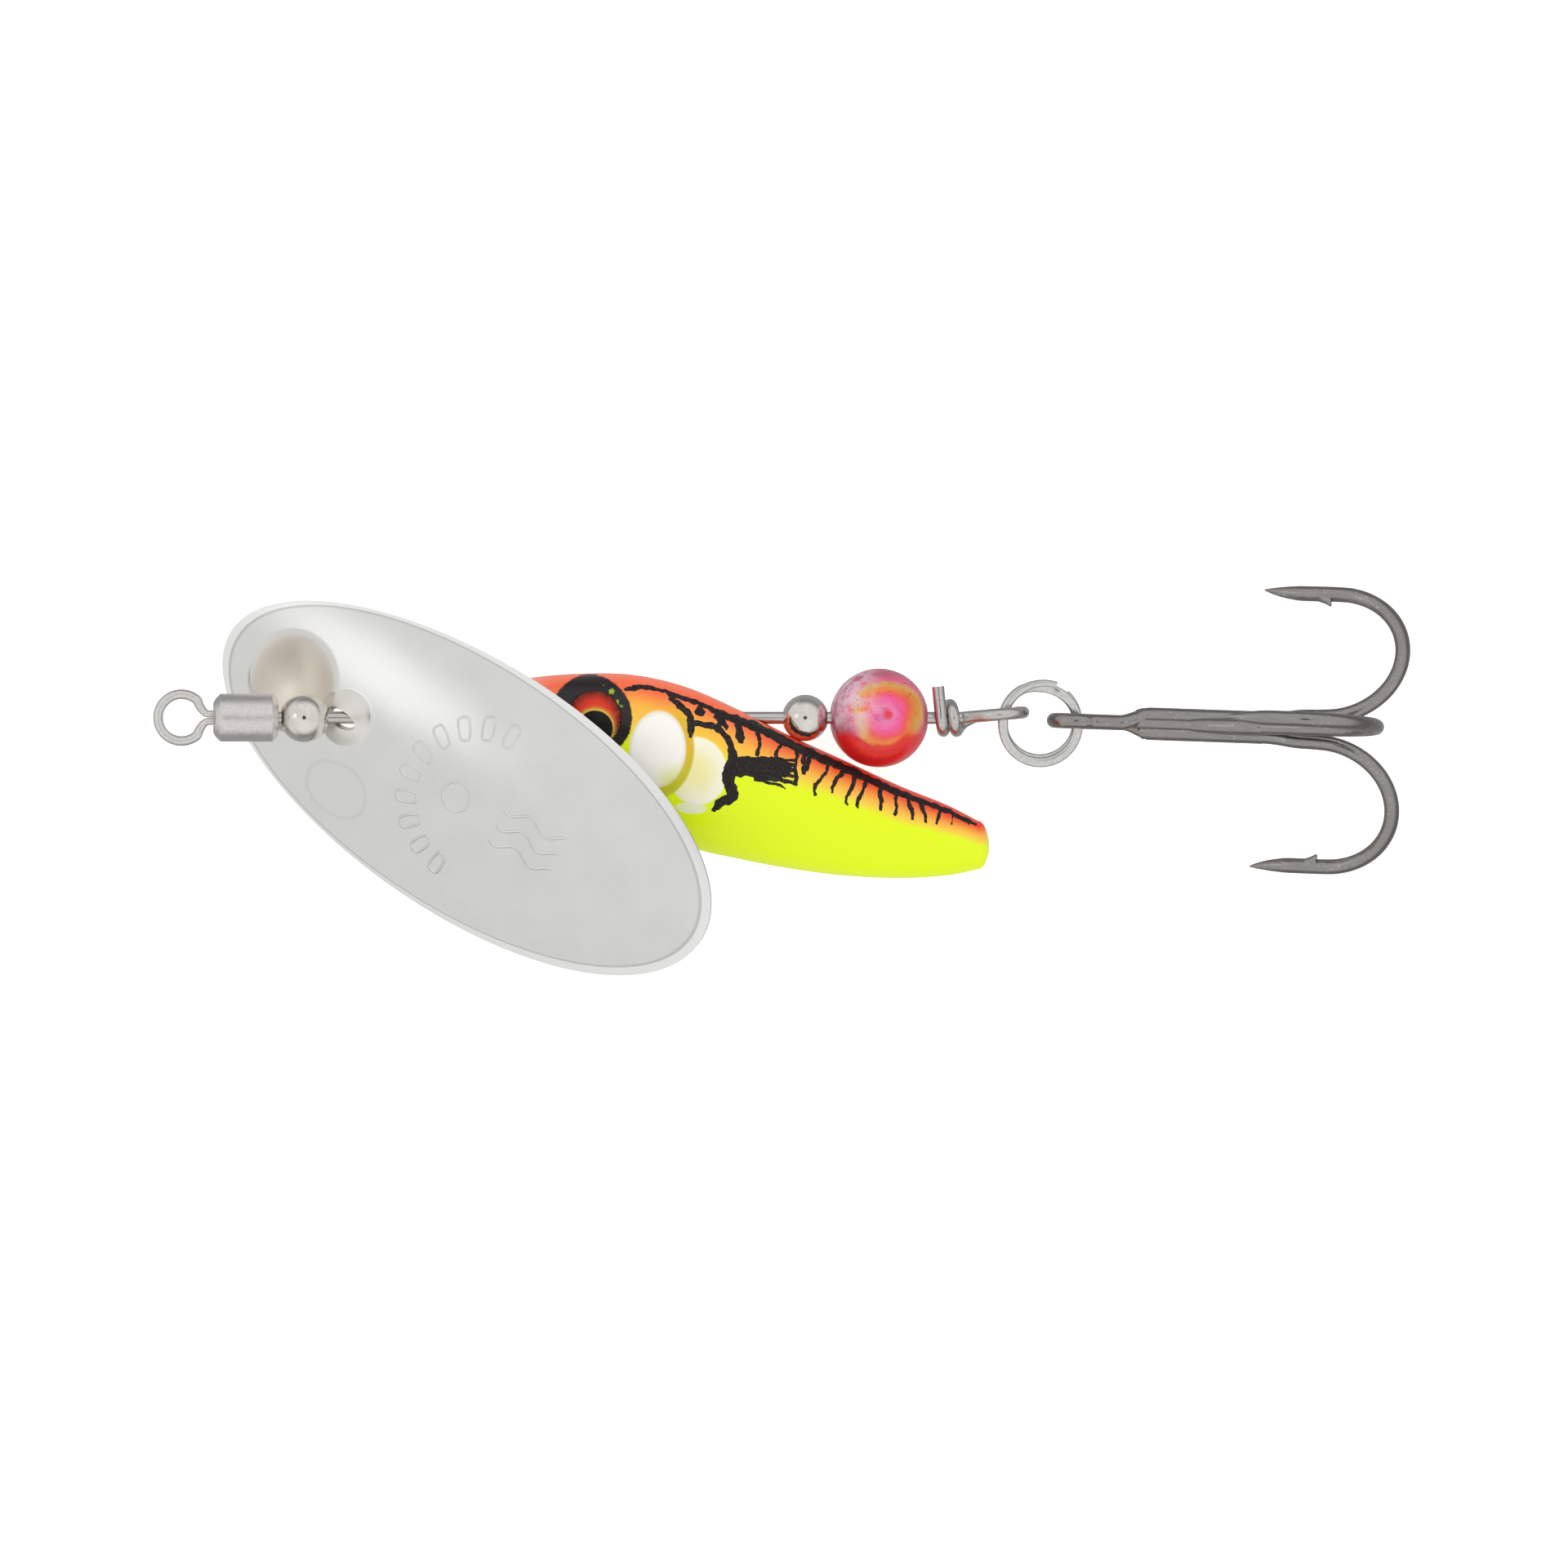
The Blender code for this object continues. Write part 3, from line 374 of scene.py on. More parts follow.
def stroke_tree():
    """Flat lines laid on a surface: each stroke drops along Z onto the target and hugs it."""
    graph, given = start_tree(
        "laid_line",
        [
            ("Target", "Object", None),
            ("Flatness", "Float", 0.15),
            ("Ragged", "Float", 0.3),
            ("Seed", "Float", 4.0),
            ("Material", "Material", None),
        ],
    )
    target = graph.node("GeometryNodeObjectInfo", None, {"Object": given["Target"]}, out="Geometry")
    curve = graph.node("GeometryNodeMeshToCurve", None, {"Mesh": given["Geometry"]})
    curve = graph.node("GeometryNodeCurveSplineType", {"spline_type": "CATMULL_ROM"}, {"Curve": curve})
    curve = graph.node("GeometryNodeSetSplineResolution", None, {"Geometry": curve, "Resolution": 5})
    ring = graph.node("GeometryNodeCurvePrimitiveCircle", None, {"Resolution": 8, "Radius": 1.0})
    thick = graph.node("GeometryNodeInputNamedAttribute", {"data_type": "FLOAT"}, {"Name": "thickness"})
    inputs = {"Curve": curve, "Profile Curve": ring, "Scale": thick, "Fill Caps": True}
    tube = graph.node("GeometryNodeCurveToMesh", None, inputs)
    spot = graph.node("GeometryNodeInputPosition")
    x, y, z = graph.split(spot)
    inputs = {"Vector": spot, "Scale": 3.4, "Detail": 4.0, "W": given["Seed"]}
    rough = graph.node("ShaderNodeTexNoise", {"noise_dimensions": "4D"}, inputs, out="Color")
    sway_x, sway_y, rough = graph.split(rough)
    side = graph.maths("SIGN", z)
    x = x + (sway_x - 0.5) * given["Ragged"]
    y = y + (sway_y - 0.5) * given["Ragged"]
    above = graph.join(x, y, side * 20.0)
    way = graph.join(0.0, 0.0, side * -1.0)
    inputs = {"Target Geometry": target, "Source Position": above, "Ray Direction": way, "Ray Length": 40.0}
    hit = graph.node("GeometryNodeRaycast", None, inputs, out="Hit Position").socket.node.outputs
    place = Value(graph, hit["Hit Position"])
    normal = Value(graph, hit["Hit Normal"])
    lift = (abs(z) - 10.0) * given["Flatness"] * (1.0 + (rough - 0.5) * given["Ragged"])
    inputs = {0: normal, "Scale": lift}
    offset = graph.node("ShaderNodeVectorMath", {"operation": "SCALE"}, inputs)
    moved = graph.node("ShaderNodeVectorMath", {"operation": "ADD"}, {0: place, 1: offset})
    inputs = {"Geometry": tube, "Position": moved, "Selection": Value(graph, hit["Is Hit"])}
    laid = graph.node("GeometryNodeSetPosition", None, inputs)
    return end_tree(graph, laid, given["Material"])


def blade_tree():
    """Pressed sheet: lifts a flat shell by the blade's dish, cup and nub, square to its face."""
    names = [("Length", 33.0), ("Width", 14.8), ("Centre", 7.85), ("Crown", 1.6), ("Cup Place", -3.75)]
    names += [("Cup Radius", 3.0), ("Cup Depth", 0.85), ("Nub Place", 0.25), ("Nub Radius", 1.7)]
    names += [("Nub Height", 0.65), ("Level", 0.0)]
    sockets = [(label, "Float", default) for label, default in names]
    graph, given = start_tree("pressed_blade", sockets + [("Material", "Material", None)])

    def mound(u, v, place, radius, power):
        t = ((u - place) ** 2.0 + v * v).root() / radius
        return (1.0 - t * t).most(0.0) ** power

    def height(u, v):
        ahead = (u - given["Centre"]) / (given["Length"] * 0.5)
        across = v / (given["Width"] * 0.5)
        dish = given["Crown"] * (1.0 - ahead * ahead - across * across)
        cup = given["Cup Depth"] * mound(u, v, given["Cup Place"], given["Cup Radius"], 1.4)
        nub = given["Nub Height"] * mound(u, v, given["Nub Place"], given["Nub Radius"], 1.7)
        return dish - cup + nub - given["Level"]

    u, v, z = graph.split(graph.node("GeometryNodeInputPosition"))
    here = height(u, v)
    slope_u = (height(u + 0.02, v) - here) / 0.02
    slope_v = (height(u, v + 0.02) - here) / 0.02
    length = (slope_u * slope_u + slope_v * slope_v + 1.0).root()
    place = graph.join(u - slope_u / length * z, v - slope_v / length * z, here + z / length)
    inputs = {"Geometry": given["Geometry"], "Position": place}
    pressed = graph.node("GeometryNodeSetPosition", None, inputs)
    return end_tree(graph, pressed, given["Material"])


def grown(tree, mesh, **values):
    """Runs a geometry tree on a mesh and returns the result as a plain mesh."""
    holder = bpy.data.objects.new("holder", mesh)
    bpy.context.scene.collection.objects.link(holder)
    step = holder.modifiers.new("grow", "NODES")
    step.node_group = tree
    for socket in tree.interface.items_tree:
        key = socket.name.replace(" ", "_").lower()
        if socket.in_out == "INPUT" and key in values:
            step[socket.identifier] = values[key]
    bpy.context.view_layer.update()
    graph = bpy.context.evaluated_depsgraph_get()
    made = bpy.data.meshes.new_from_object(holder.evaluated_get(graph))
    holder.modifiers.clear()
    bpy.data.objects.remove(holder)
    if not made.polygons:
        raise RuntimeError(f"{tree.name} made no faces")
    return made


# ---------------------------------------------------------------- mesh helpers


def path_mesh(paths):
    """Points with a thickness each, joined in order, as edges for a wire or stroke tree."""
    vertices = []
    edges = []
    sizes = []
    for path in paths:
        first = len(vertices)
        for place, size in path:
            vertices.append(tuple(place))
            sizes.append(size)
        edges += [(i, i + 1) for i in range(first, len(vertices) - 1)]
    mesh = bpy.data.meshes.new("path")
    mesh.from_pydata(vertices, edges, [])
    mesh.attributes.new("thickness", "FLOAT", "POINT").data.foreach_set("value", sizes)
    return mesh


def skin(rings, closed=False):
    """Joins rings of equal length into one outward skin, capped or closed on itself."""
    count = len(rings[0])
    faces = []
    for i in range(len(rings) - (0 if closed else 1)):
        here = i * count
        there = (i + 1) % len(rings) * count
        for j in range(count):
            k = (j + 1) % count
            faces.append((here + j, here + k, there + k, there + j))
    if not closed:
        faces.append(tuple(range(count)))
        faces.append(tuple(range((len(rings) - 1) * count, len(rings) * count)))
    mesh = bpy.data.meshes.new("skin")
    mesh.from_pydata([tuple(p) for ring in rings for p in ring], [], faces)
    return outward(mesh)


def outward(mesh):
    work = bmesh.new()
    work.from_mesh(mesh)
    bmesh.ops.remove_doubles(work, verts=work.verts, dist=1e-5)
    bmesh.ops.recalc_face_normals(work, faces=work.faces)
    work.to_mesh(mesh)
    work.free()
    return mesh


def joined(*meshes):
    work = bmesh.new()
    for mesh in meshes:
        work.from_mesh(mesh)
    made = bpy.data.meshes.new("joined")
    work.to_mesh(made)
    work.free()
    return made


def circle(radius, rise, count=96, first=X, second=Y, axis=Z):
    turns = [2 * math.pi * j / count for j in range(count)]
    return [first * (radius * math.cos(a)) + second * (radius * math.sin(a)) + axis * rise for a in turns]


def lathe(profile, count=96):
    """Turns a closed outline of (x, radius) pairs about the wire."""
    rings = []
    for i in range(count):
        a = 2 * math.pi * i / count
        rings.append([Vector((x, r * math.cos(a), r * math.sin(a))) for x, r in profile])
    return skin(rings, closed=True)


def rounded(corners, radius, steps=5):
    """An outline whose corners are rounded by arcs-like steps."""
    made = []
    count = len(corners)
    for i, corner in enumerate(corners):
        here = Vector(corner)
        back = Vector(corners[i - 1]) - here
        ahead = Vector(corners[(i + 1) % count]) - here
        reach = min(radius, back.length * 0.45, ahead.length * 0.45)
        start = here + back.normalized() * reach
        end = here + ahead.normalized() * reach
        for k in range(steps + 1):
            t = k / steps
            made.append(tuple(start * (1 - t) ** 2 + here * 2 * t * (1 - t) + end * t * t))
    return made


def bead_outline(radius, bore, steps=40):
    start = math.asin(bore / radius)
    turns = [start + (math.pi - 2 * start) * i / steps for i in range(steps + 1)]
    outline = [(-radius * math.cos(a), radius * math.sin(a)) for a in turns]
    lip = 0.06
    deep = radius * math.cos(start) - lip
    return outline[1:-1] + [(deep, bore), (-deep, bore)]


def arc(centre, radius, start, end, steps, across, ahead):
    turns = [start + (end - start) * i / steps for i in range(steps + 1)]
    return [centre + across * (radius * math.cos(a)) + ahead * (radius * math.sin(a)) for a in turns]


def blend(start, start_way, end, end_way, steps):
    found = []
    for i in range(1, steps):
        t = i / steps
        place = start * (2 * t**3 - 3 * t**2 + 1) + start_way * (t**3 - 2 * t**2 + t)
        found.append(place + end * (-2 * t**3 + 3 * t**2) + end_way * (t**3 - t**2))
    return found


def cut(mesh, cutters, operation="DIFFERENCE"):
    """Cuts meshes from a mesh, or joins them on, exactly."""
    holder = bpy.data.objects.new("cut", mesh)
    bpy.context.scene.collection.objects.link(holder)
    others = []
    for cutter in cutters:
        other = bpy.data.objects.new("cutter", cutter)
        bpy.context.scene.collection.objects.link(other)
        others.append(other)
        step = holder.modifiers.new("cut", "BOOLEAN")
        step.operation = operation
        step.solver = "EXACT"
        step.object = other
    bpy.context.view_layer.update()
    graph = bpy.context.evaluated_depsgraph_get()
    made = bpy.data.meshes.new_from_object(holder.evaluated_get(graph))
    for other in [holder, *others]:
        bpy.data.objects.remove(other)
    return made


def set_piece(name, mesh, pose, finish, body, nodes=(), sharp=40.0):
    """Puts a finished mesh in the lure, at rest, riding on its body."""
    mesh.transform(pose)
    mesh.name = name
    mesh.materials.clear()
    mesh.materials.append(finish.material)
    mesh.shade_smooth()
    mesh.set_sharp_from_angle(angle=math.radians(sharp))
    piece = bpy.data.objects.new(name, mesh)
    bpy.context.scene.collection.objects.link(piece)
    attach(piece, body)
    if nodes:
        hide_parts(*nodes)
    return piece


# ---------------------------------------------------------------- sizes and colours


def length_prop(name, description, default):
    return bpy.props.FloatProperty(
        name=name, description=description, default=default * MM, min=0.0, unit="LENGTH", precision=5
    )


def colour_prop(name, description, default):
    return bpy.props.FloatVectorProperty(
        name=name, description=description, default=default, size=3, min=0.0, max=1.0, subtype="COLOR"
    )


class LureSizes(bpy.types.PropertyGroup):
    """Sizes that another lure of the kind would change."""

    wire: length_prop("Wire radius", "Radius of the shaft wire", 0.35)
    hook_wire: length_prop("Hook wire radius", "Radius of the treble's wire", 0.43)
    front_bead: length_prop("Front bead radius", "Radius of the bead ahead of the blade", 1.41)
    rear_bead: length_prop("Rear bead radius", "Radius of the small bead behind the body", 1.32)
    red_bead: length_prop("Glass bead radius", "Radius of the glass bead", 2.8)
    bearing: length_prop("Bearing bead radius", "Radius of the bead under the blade", 0.95)
    blade_length: length_prop("Blade length", "Length of the blade's rim", 33.0)
    blade_width: length_prop("Blade width", "Width of the blade's rim", 14.8)
    blade_sheet: length_prop("Blade sheet", "Thickness of the blade's sheet", 0.38)


class LureColours(bpy.types.PropertyGroup):
    """Colours that another lure of the kind would change."""

    back: colour_prop("Back", "Paint along the back", (0.93, 0.12, 0.05))
    side: colour_prop("Side", "Paint between back and belly", (1.0, 0.45, 0.05))
    belly: colour_prop("Belly", "Paint on the flank and belly", (0.82, 0.99, 0.0))
    lines: colour_prop("Lines", "Brushed lines", (0.012, 0.009, 0.009))
    plate: colour_prop("Gill plate", "Pearl on the gill plates", (1.0, 0.98, 0.92))
    iris: colour_prop("Iris", "Ring around the pupil", (1.0, 0.05, 0.02))
    glass: colour_prop("Glass bead", "Glass of the large bead", (0.78, 0.012, 0.01))
    silver: colour_prop("Blade plate", "Plating of the blade", (0.86, 0.86, 0.84))


def sizes():
    return bpy.context.scene.lure_sizes


def colours():
    return bpy.context.scene.lure_colours


# ---------------------------------------------------------------- finishes


def metal_finish(name, colour, rough, uneven, grain, pose=LAY, stretch=(1.0, 1.0, 1.0), scratch=0.1, worn=0.0):
    """Plated or drawn metal: cloudy gloss, fine grain and a few faint handling marks."""
    made = Finish(name, metallic=1.0)
    spot = made.place(pose)
    cloud = made.noise(spot, 0.9, 3.0, 0.55)
    fine = made.noise(spot, grain, 4.0, 0.6, stretch)
    made.feed("Roughness", rough + (cloud - 0.5) * uneven + (fine - 0.5) * uneven)
    dull = tuple(c * 0.86 for c in colour)
    tone = made.mix(fine.step(0.35, 0.7), dull, colour)
    if worn:
        flecks = made.noise(spot, 4.0, 4.0, 0.7).step(0.56, 0.66) * cloud.step(0.45, 0.58)
        tone = made.mix(flecks * worn, tone, (0.72, 0.69, 0.66))
    made.feed("Base Color", tone)
    made.bump(fine, scratch, 0.02 * MM)
    return made


def blade_finish():
    """Silver plate: mirror-smooth with hairlines and soft smudges, painted shade and a painted highlight round
    the rim, and warm painted reflections in the cup and on the nub.
    """
    silver = tuple(colours().silver)
    made = Finish("silver_plate", metallic=1.0)
    spot = made.place(BLADE_POSE)
    u, v, _ = made.split(spot)
    ahead = (u - 7.85) / 16.5
    across = v / 7.4
    rim = (ahead * ahead + across * across).root().step(0.95, 0.985)
    smudge = made.noise(spot, 0.35, 4.0, 0.55)
    hair = made.noise(spot, 9.0, 3.0, 0.7, (0.08, 1.6, 1.0))
    pits = made.noise(spot, 14.0, 1.0, 0.5).step(0.72, 0.76)
    tint = made.mix(smudge.step(0.3, 0.75), tuple(c * 0.95 for c in silver), silver)
    # painted shade: a darker band just inside the rim, then a painted highlight along the rim's edge, all the
    # way round
    tint = made.mix(rim.step(0.0, 0.5), tint, (0.62, 0.62, 0.61))
    tint = made.mix(rim.step(0.45, 0.8), tint, (1.0, 1.0, 0.99))
    # painted reflection: a warm tint in the cup and a cream one on the nub, where the plate reflects warm
    # surroundings
    cup = ellipse(u, v, (-3.75, 0.0), (3.0, 3.0)).step(1.0, 0.75)
    tint = made.mix(cup * (0.4 + smudge * 0.5), tint, (0.93, 0.83, 0.67))
    nub = ellipse(u, v, (0.25, 0.0), (1.75, 1.75)).step(1.0, 0.72)
    tint = made.mix(nub * (0.5 + smudge * 0.4), tint, (0.97, 0.93, 0.85))
    print_rim = ellipse(u, v, (1.5, -4.0), (2.05, 1.6), 8.0) + (smudge - 0.5) * 0.3
    faint = print_rim.step(0.86, 0.94) * print_rim.step(1.08, 0.98)
    tint = made.mix(faint * 0.15, tint, (0.5, 0.49, 0.46))
    made.feed("Base Color", made.mix(pits * 0.35, tint, (0.45, 0.43, 0.4)))
    made.feed("Roughness", 0.13 + smudge * 0.09 + rim * 0.1 + pits * 0.1 + cup * 0.16 + nub * 0.24)
    made.bump(hair + pits * -0.6 + smudge * 0.4, 0.06, 0.02 * MM)
    return made


def ellipse(x, y, centre, half, turn=0.0):
    """Distance from an ellipse's centre, 1 at its rim."""
    c = math.cos(math.radians(turn))
    s = math.sin(math.radians(turn))
    dx = x - centre[0]
    dy = y - centre[1]
    a = (dx * c + dy * s) / half[0]
    b = (dy * c - dx * s) / half[1]
    return (a * a + b * b).root()


def paint_finish():
    """Sprayed coral, orange and chartreuse under gloss, with pearl gill plates and a brushed eye ring; painted
    shade and a painted highlight lie about the gill plates.
    """
    look = colours()
    made = Finish("body_paint", coat_weight=0.35, coat_roughness=0.05, specular_ior_level=0.3)
    spot = made.place(BODY_POSE)
    x, y, _ = made.split(spot)
    y = y - PAINT_SHIFT
    wide = made.noise(spot, 0.45, 3.0, 0.5)
    edge = made.noise(spot, 3.2, 4.0, 0.65)
    back_line = made.curve(x, [(row[0], row[1] - PAINT_SHIFT) for row in BODY_STATIONS])
    down = back_line - y + (wide - 0.5) * 0.5
    first = made.curve(x, [(-18, 1.4), (-9, 1.35), (-3, 1.5), (2, 1.35), (7, 1.1), (11, 0.7)])
    second = made.curve(x, [(-18, 3.6), (-9, 3.6), (-3, 3.4), (2, 2.35), (7, 1.95), (11, 1.3)])
    share = (down / first).most(0.0)
    lower = ((down - first) / (second - first)).most(0.0)
    redder = x.step(-4.0, 4.0)
    coral = made.mix(redder, tuple(look.back), (0.88, 0.03, 0.02))
    tone = made.mix(share.step(0.35, 1.25), coral, tuple(look.side))
    tone = made.mix(lower.step(-0.1, 0.7), tone, (1.0, 0.66, 0.06))
    tone = made.mix(lower.step(0.45, 1.15), tone, tuple(look.belly))
    # pale wash at the nose and a lighter sweep along the top
    pale = x.step(-12.5, -17.0) * 0.7
    tone = made.mix(pale, tone, (0.98, 0.72, 0.6))
    top = down.step(0.45, 0.0) * x.step(1.0, -5.0) * 0.15
    tone = made.mix(top, tone, (0.98, 0.42, 0.32))
    # second gill plate: a pearl crescent, yellow where it meets the first
    rag = (edge - 0.5) * 0.14
    plate_two = ellipse(x, y, *GILL_TWO, 8.0) + rag * 0.6
    pearl = made.mix(plate_two.step(0.2, 0.95), (0.95, 0.88, 0.42), (0.98, 0.95, 0.76))
    pearl = made.mix(x.step(-5.2, -6.6) * 0.6, pearl, (0.87, 0.8, 0.2))
    tone = made.mix(plate_two.step(1.02, 0.95), tone, pearl)
    # painted highlight: a pale lime-white patch low on the second gill plate
    painted_highlight_patch = ellipse(x, y, (-5.3, -5.1), (0.95, 0.36), -4.0) + rag
    tone = made.mix(painted_highlight_patch.step(1.0, 0.8) * 0.85, tone, (0.86, 0.9, 0.72))
    # groove and first gill plate, with painted shade: olive along the groove and a brownish band inside the
    # plate's rim
    plate_one = ellipse(x, y, *GILL_ONE, -4.0)
    groove = plate_one.step(1.34, 1.24) * (x + 7.4).step(-0.6, 0.2) * (y - 0.3).step(0.5, -0.5)
    painted_groove_shade = made.mix(y.step(-1.0, -3.6), (0.82, 0.5, 0.02), (0.6, 0.58, 0.02))
    tone = made.mix(groove, tone, painted_groove_shade)
    shade = made.mix(y.step(-2.2, -3.6) * x.step(-7.6, -6.4), tuple(look.plate), (0.8, 0.86, 0.3))
    # painted shade: a brownish band just inside the first plate's rim
    shade = made.mix(plate_one.step(0.86, 1.0) * 0.45, shade, (0.72, 0.55, 0.3))
    tone = made.mix(plate_one.step(1.03, 0.98), tone, shade)
    # brushed ring round the eye
    far = ((x - EYE_PLACE[0] + 0.2) ** 2.0 + (y + PAINT_SHIFT - EYE_PLACE[1]) ** 2.0).root()
    ring = (far + rag * 1.6).step(2.36, 2.26)
    chips = made.noise(spot, 2.6, 2.0, 0.5).step(0.56, 0.6) * (y - 0.4).step(0.0, 0.4) * far.step(2.08, 1.9)
    dark = made.mix(chips * (x + 10.9).step(0.0, 0.5), tuple(look.lines), (0.33, 0.5, 0.01))
    tone = made.mix(ring, tone, dark)
    speck = made.noise(spot, 5.5, 2.0, 0.5).step(0.74, 0.78)
    made.feed("Base Color", made.mix(speck * 0.12, tone, (0.98, 0.95, 0.5)))
    made.feed("Roughness", 0.26 + wide * 0.12)
    made.feed("Metallic", plate_one.step(1.0, 0.9) * 0.04)
    made.bump(wide * 0.8 + edge * 0.15 + ring * 0.25, 0.12, 0.06 * MM)
    return made


def line_finish():
    made = Finish("brushed_lines", coat_weight=0.1, specular_ior_level=0.2)
    spot = made.place(BODY_POSE)
    streak = made.noise(spot, 7.0, 4.0, 0.6)
    dark = tuple(colours().lines)
    made.feed("Base Color", made.mix(streak.step(0.4, 0.75), dark, tuple(c * 2.6 + 0.01 for c in dark)))
    made.feed("Roughness", 0.3 + streak * 0.25)
    made.bump(streak, 0.15, 0.02 * MM)
    return made


def eye_finish():
    """Printed eye: black pupil set low, glowing crescent above it, red iris darkening to its rim."""
    made = Finish("eye_print", specular_ior_level=0.12)
    spot = made.place(BODY_POSE)
    x, y, z = made.split(spot)
    x = x - EYE_PLACE[0]
    y = y - EYE_PLACE[1]
    far = (x * x + y * y).root()
    threads = made.noise(made.join(x / (far + 0.2), y / (far + 0.2), z), 5.0, 4.0, 0.7)
    pupil = ((x - 0.02) ** 2.0 + (y + 0.62) ** 2.0).root()
    iris = tuple(colours().iris)
    tone = made.mix(far.step(0.8, 1.5), iris, (0.16, 0.008, 0.006))
    tone = made.mix(threads.step(0.45, 0.75) * 0.6, tone, (0.95, 0.16, 0.02))
    glow = (pupil + (threads - 0.5) * 0.25).step(1.34, 1.02)
    tone = made.mix(glow * 0.9, tone, (0.98, 0.36, 0.03))
    tone = made.mix((pupil + (threads - 0.5) * 0.15).step(1.16, 1.04), tone, (0.94, 0.68, 0.12))
    tone = made.mix(pupil.step(1.02, 0.96), tone, (0.008, 0.006, 0.006))
    made.feed("Base Color", made.mix(far.step(1.45, 1.5), tone, (0.012, 0.008, 0.008)))
    made.feed("Roughness", 0.25 + threads * 0.2)
    made.bump(threads, 0.1, 0.02 * MM)
    return made


def lens_finish():
    """Clear cast resin."""
    made = Finish("eye_lens", roughness=0.02, transmission_weight=1.0, ior=1.2, base_color=(0.99, 0.98, 0.97))
    spot = made.place(BODY_POSE)
    ripple = made.noise(spot, 0.8, 2.0, 0.4)
    made.feed("Roughness", 0.015 + ripple * 0.02)
    made.bump(ripple, 0.04, 0.05 * MM)
    return made


def glass_finish():
    """Red glass under a thin pearly coat that runs from pink to gold, worn through in flecks; the coat's sheen
    is painted as rings round the top, and a painted refraction crescent lies low down.
    """
    look = colours()
    made = Finish("red_glass_bead", coat_weight=0.4, coat_roughness=0.02)
    pose = LAY @ Matrix.Translation(X * along_wire("red_bead_spin"))
    spot = made.place(pose)
    x, y, z = made.split(spot)
    swirl = made.noise(spot, 0.55, 3.0, 0.5)
    # partly painted sheen: the coat's real pink-to-gold colours laid in rings round a point near the bead's
    # top, as its iridescent sheen shows from above, with the outermost ring darker as painted shade
    far = ((x - 0.35) ** 2.0 + (y - 0.15) ** 2.0).root() / 2.8
    band = far + (swirl - 0.5) * 0.5
    pearl = made.ramp(
        band.least(1.0),
        [
            (0.0, (0.8, 0.04, 0.1)),
            (0.09, (0.88, 0.22, 0.44)),
            (0.26, (0.93, 0.1, 0.34)),
            (0.4, (0.93, 0.09, 0.1)),
            (0.52, (0.9, 0.27, 0.04)),
            (0.64, (0.78, 0.46, 0.12)),
            (0.76, (0.86, 0.15, 0.27)),
            (0.93, (0.5, 0.1, 0.17)),
        ],
    )
    milk = made.noise(spot, 1.5, 4.0, 0.6)
    left = x.step(0.4, -1.4) * y.step(-1.6, 0.4)
    pearl = made.mix(left * milk.step(0.3, 0.6) * 0.8, pearl, (0.82, 0.6, 0.7))
    rim = far.step(0.5, 0.85)
    # painted refraction: a deep red crescent on the lower side, where light through the glass would show, less
    # metallic there
    under = ((x + 0.1) ** 2.0 + (y - 0.5) ** 2.0).root() + (milk - 0.5) * 0.5
    low = under.step(1.85, 2.15) * y.step(-0.5, -1.2)
    tone = made.mix(low * 0.95, pearl, tuple(look.glass))
    flecks = made.noise(spot, 7.0, 3.0, 0.6).step(0.62, 0.67) * y.step(-1.8, 1.6)
    tone = made.mix(flecks * 0.8, tone, (0.45, 0.01, 0.05))
    mouth = (y * y + z * z).root().step(0.62, 0.4)
    made.feed("Base Color", made.mix(mouth * 0.8, tone, tuple(look.glass)))
    made.feed("Metallic", (1.0 - low) * 0.25)
    made.feed("Roughness", 0.12 + milk * 0.14 + rim * 0.05)
    made.bump(milk + flecks * -0.5, 0.05, 0.04 * MM)
    return made


def finishes():
    """The lure's finishes, made once."""
    if not FINISHES:
        wire = (0.72, 0.7, 0.67)
        nickel = (0.9, 0.87, 0.845)
        FINISHES["stainless_wire"] = metal_finish("stainless_wire", wire, 0.2, 0.12, 3.0, stretch=(0.12, 3, 3))
        FINISHES["satin_nickel"] = metal_finish("satin_nickel", nickel, 0.36, 0.14, 7.0, scratch=0.25)
        bead = (0.93, 0.9, 0.84)
        FINISHES["polished_nickel"] = metal_finish("polished_nickel", bead, 0.1, 0.05, 1.4, scratch=0.01)
        FINISHES["silver_plate"] = blade_finish()
        FINISHES["brass_bead"] = metal_finish("brass_bead", (0.78, 0.56, 0.22), 0.2, 0.12, 4.0)
        FINISHES["body_paint"] = paint_finish()
        FINISHES["brushed_lines"] = line_finish()
        FINISHES["eye_print"] = eye_finish()
        FINISHES["eye_lens"] = lens_finish()
        FINISHES["red_glass_bead"] = glass_finish()
        steel = (0.82, 0.81, 0.79)
        FINISHES["ring_steel"] = metal_finish("ring_steel", steel, 0.2, 0.14, 5.0, stretch=(1, 1, 0.2))
        dark = (0.39, 0.365, 0.355)
        drawn_out = (0.2, 2, 2)
        made = metal_finish("black_nickel", dark, 0.17, 0.12, 5.0, TREBLE_POSE, drawn_out, 0.3, 0.5)
        FINISHES["black_nickel"] = made
    return FINISHES


FINISHES = {}
TREES = {}


def trees():
    """The lure's geometry trees, made once."""
    if not TREES:
        TREES["wire"] = wire_tree()
        TREES["stroke"] = stroke_tree()
        TREES["blade"] = blade_tree()
    return TREES


def drawn(path, finish, sides=24, steps=4):
    return grown(trees()["wire"], path_mesh([path]), sides=sides, steps=steps, material=finish.material)


# ---------------------------------------------------------------- shaft wire and swivel


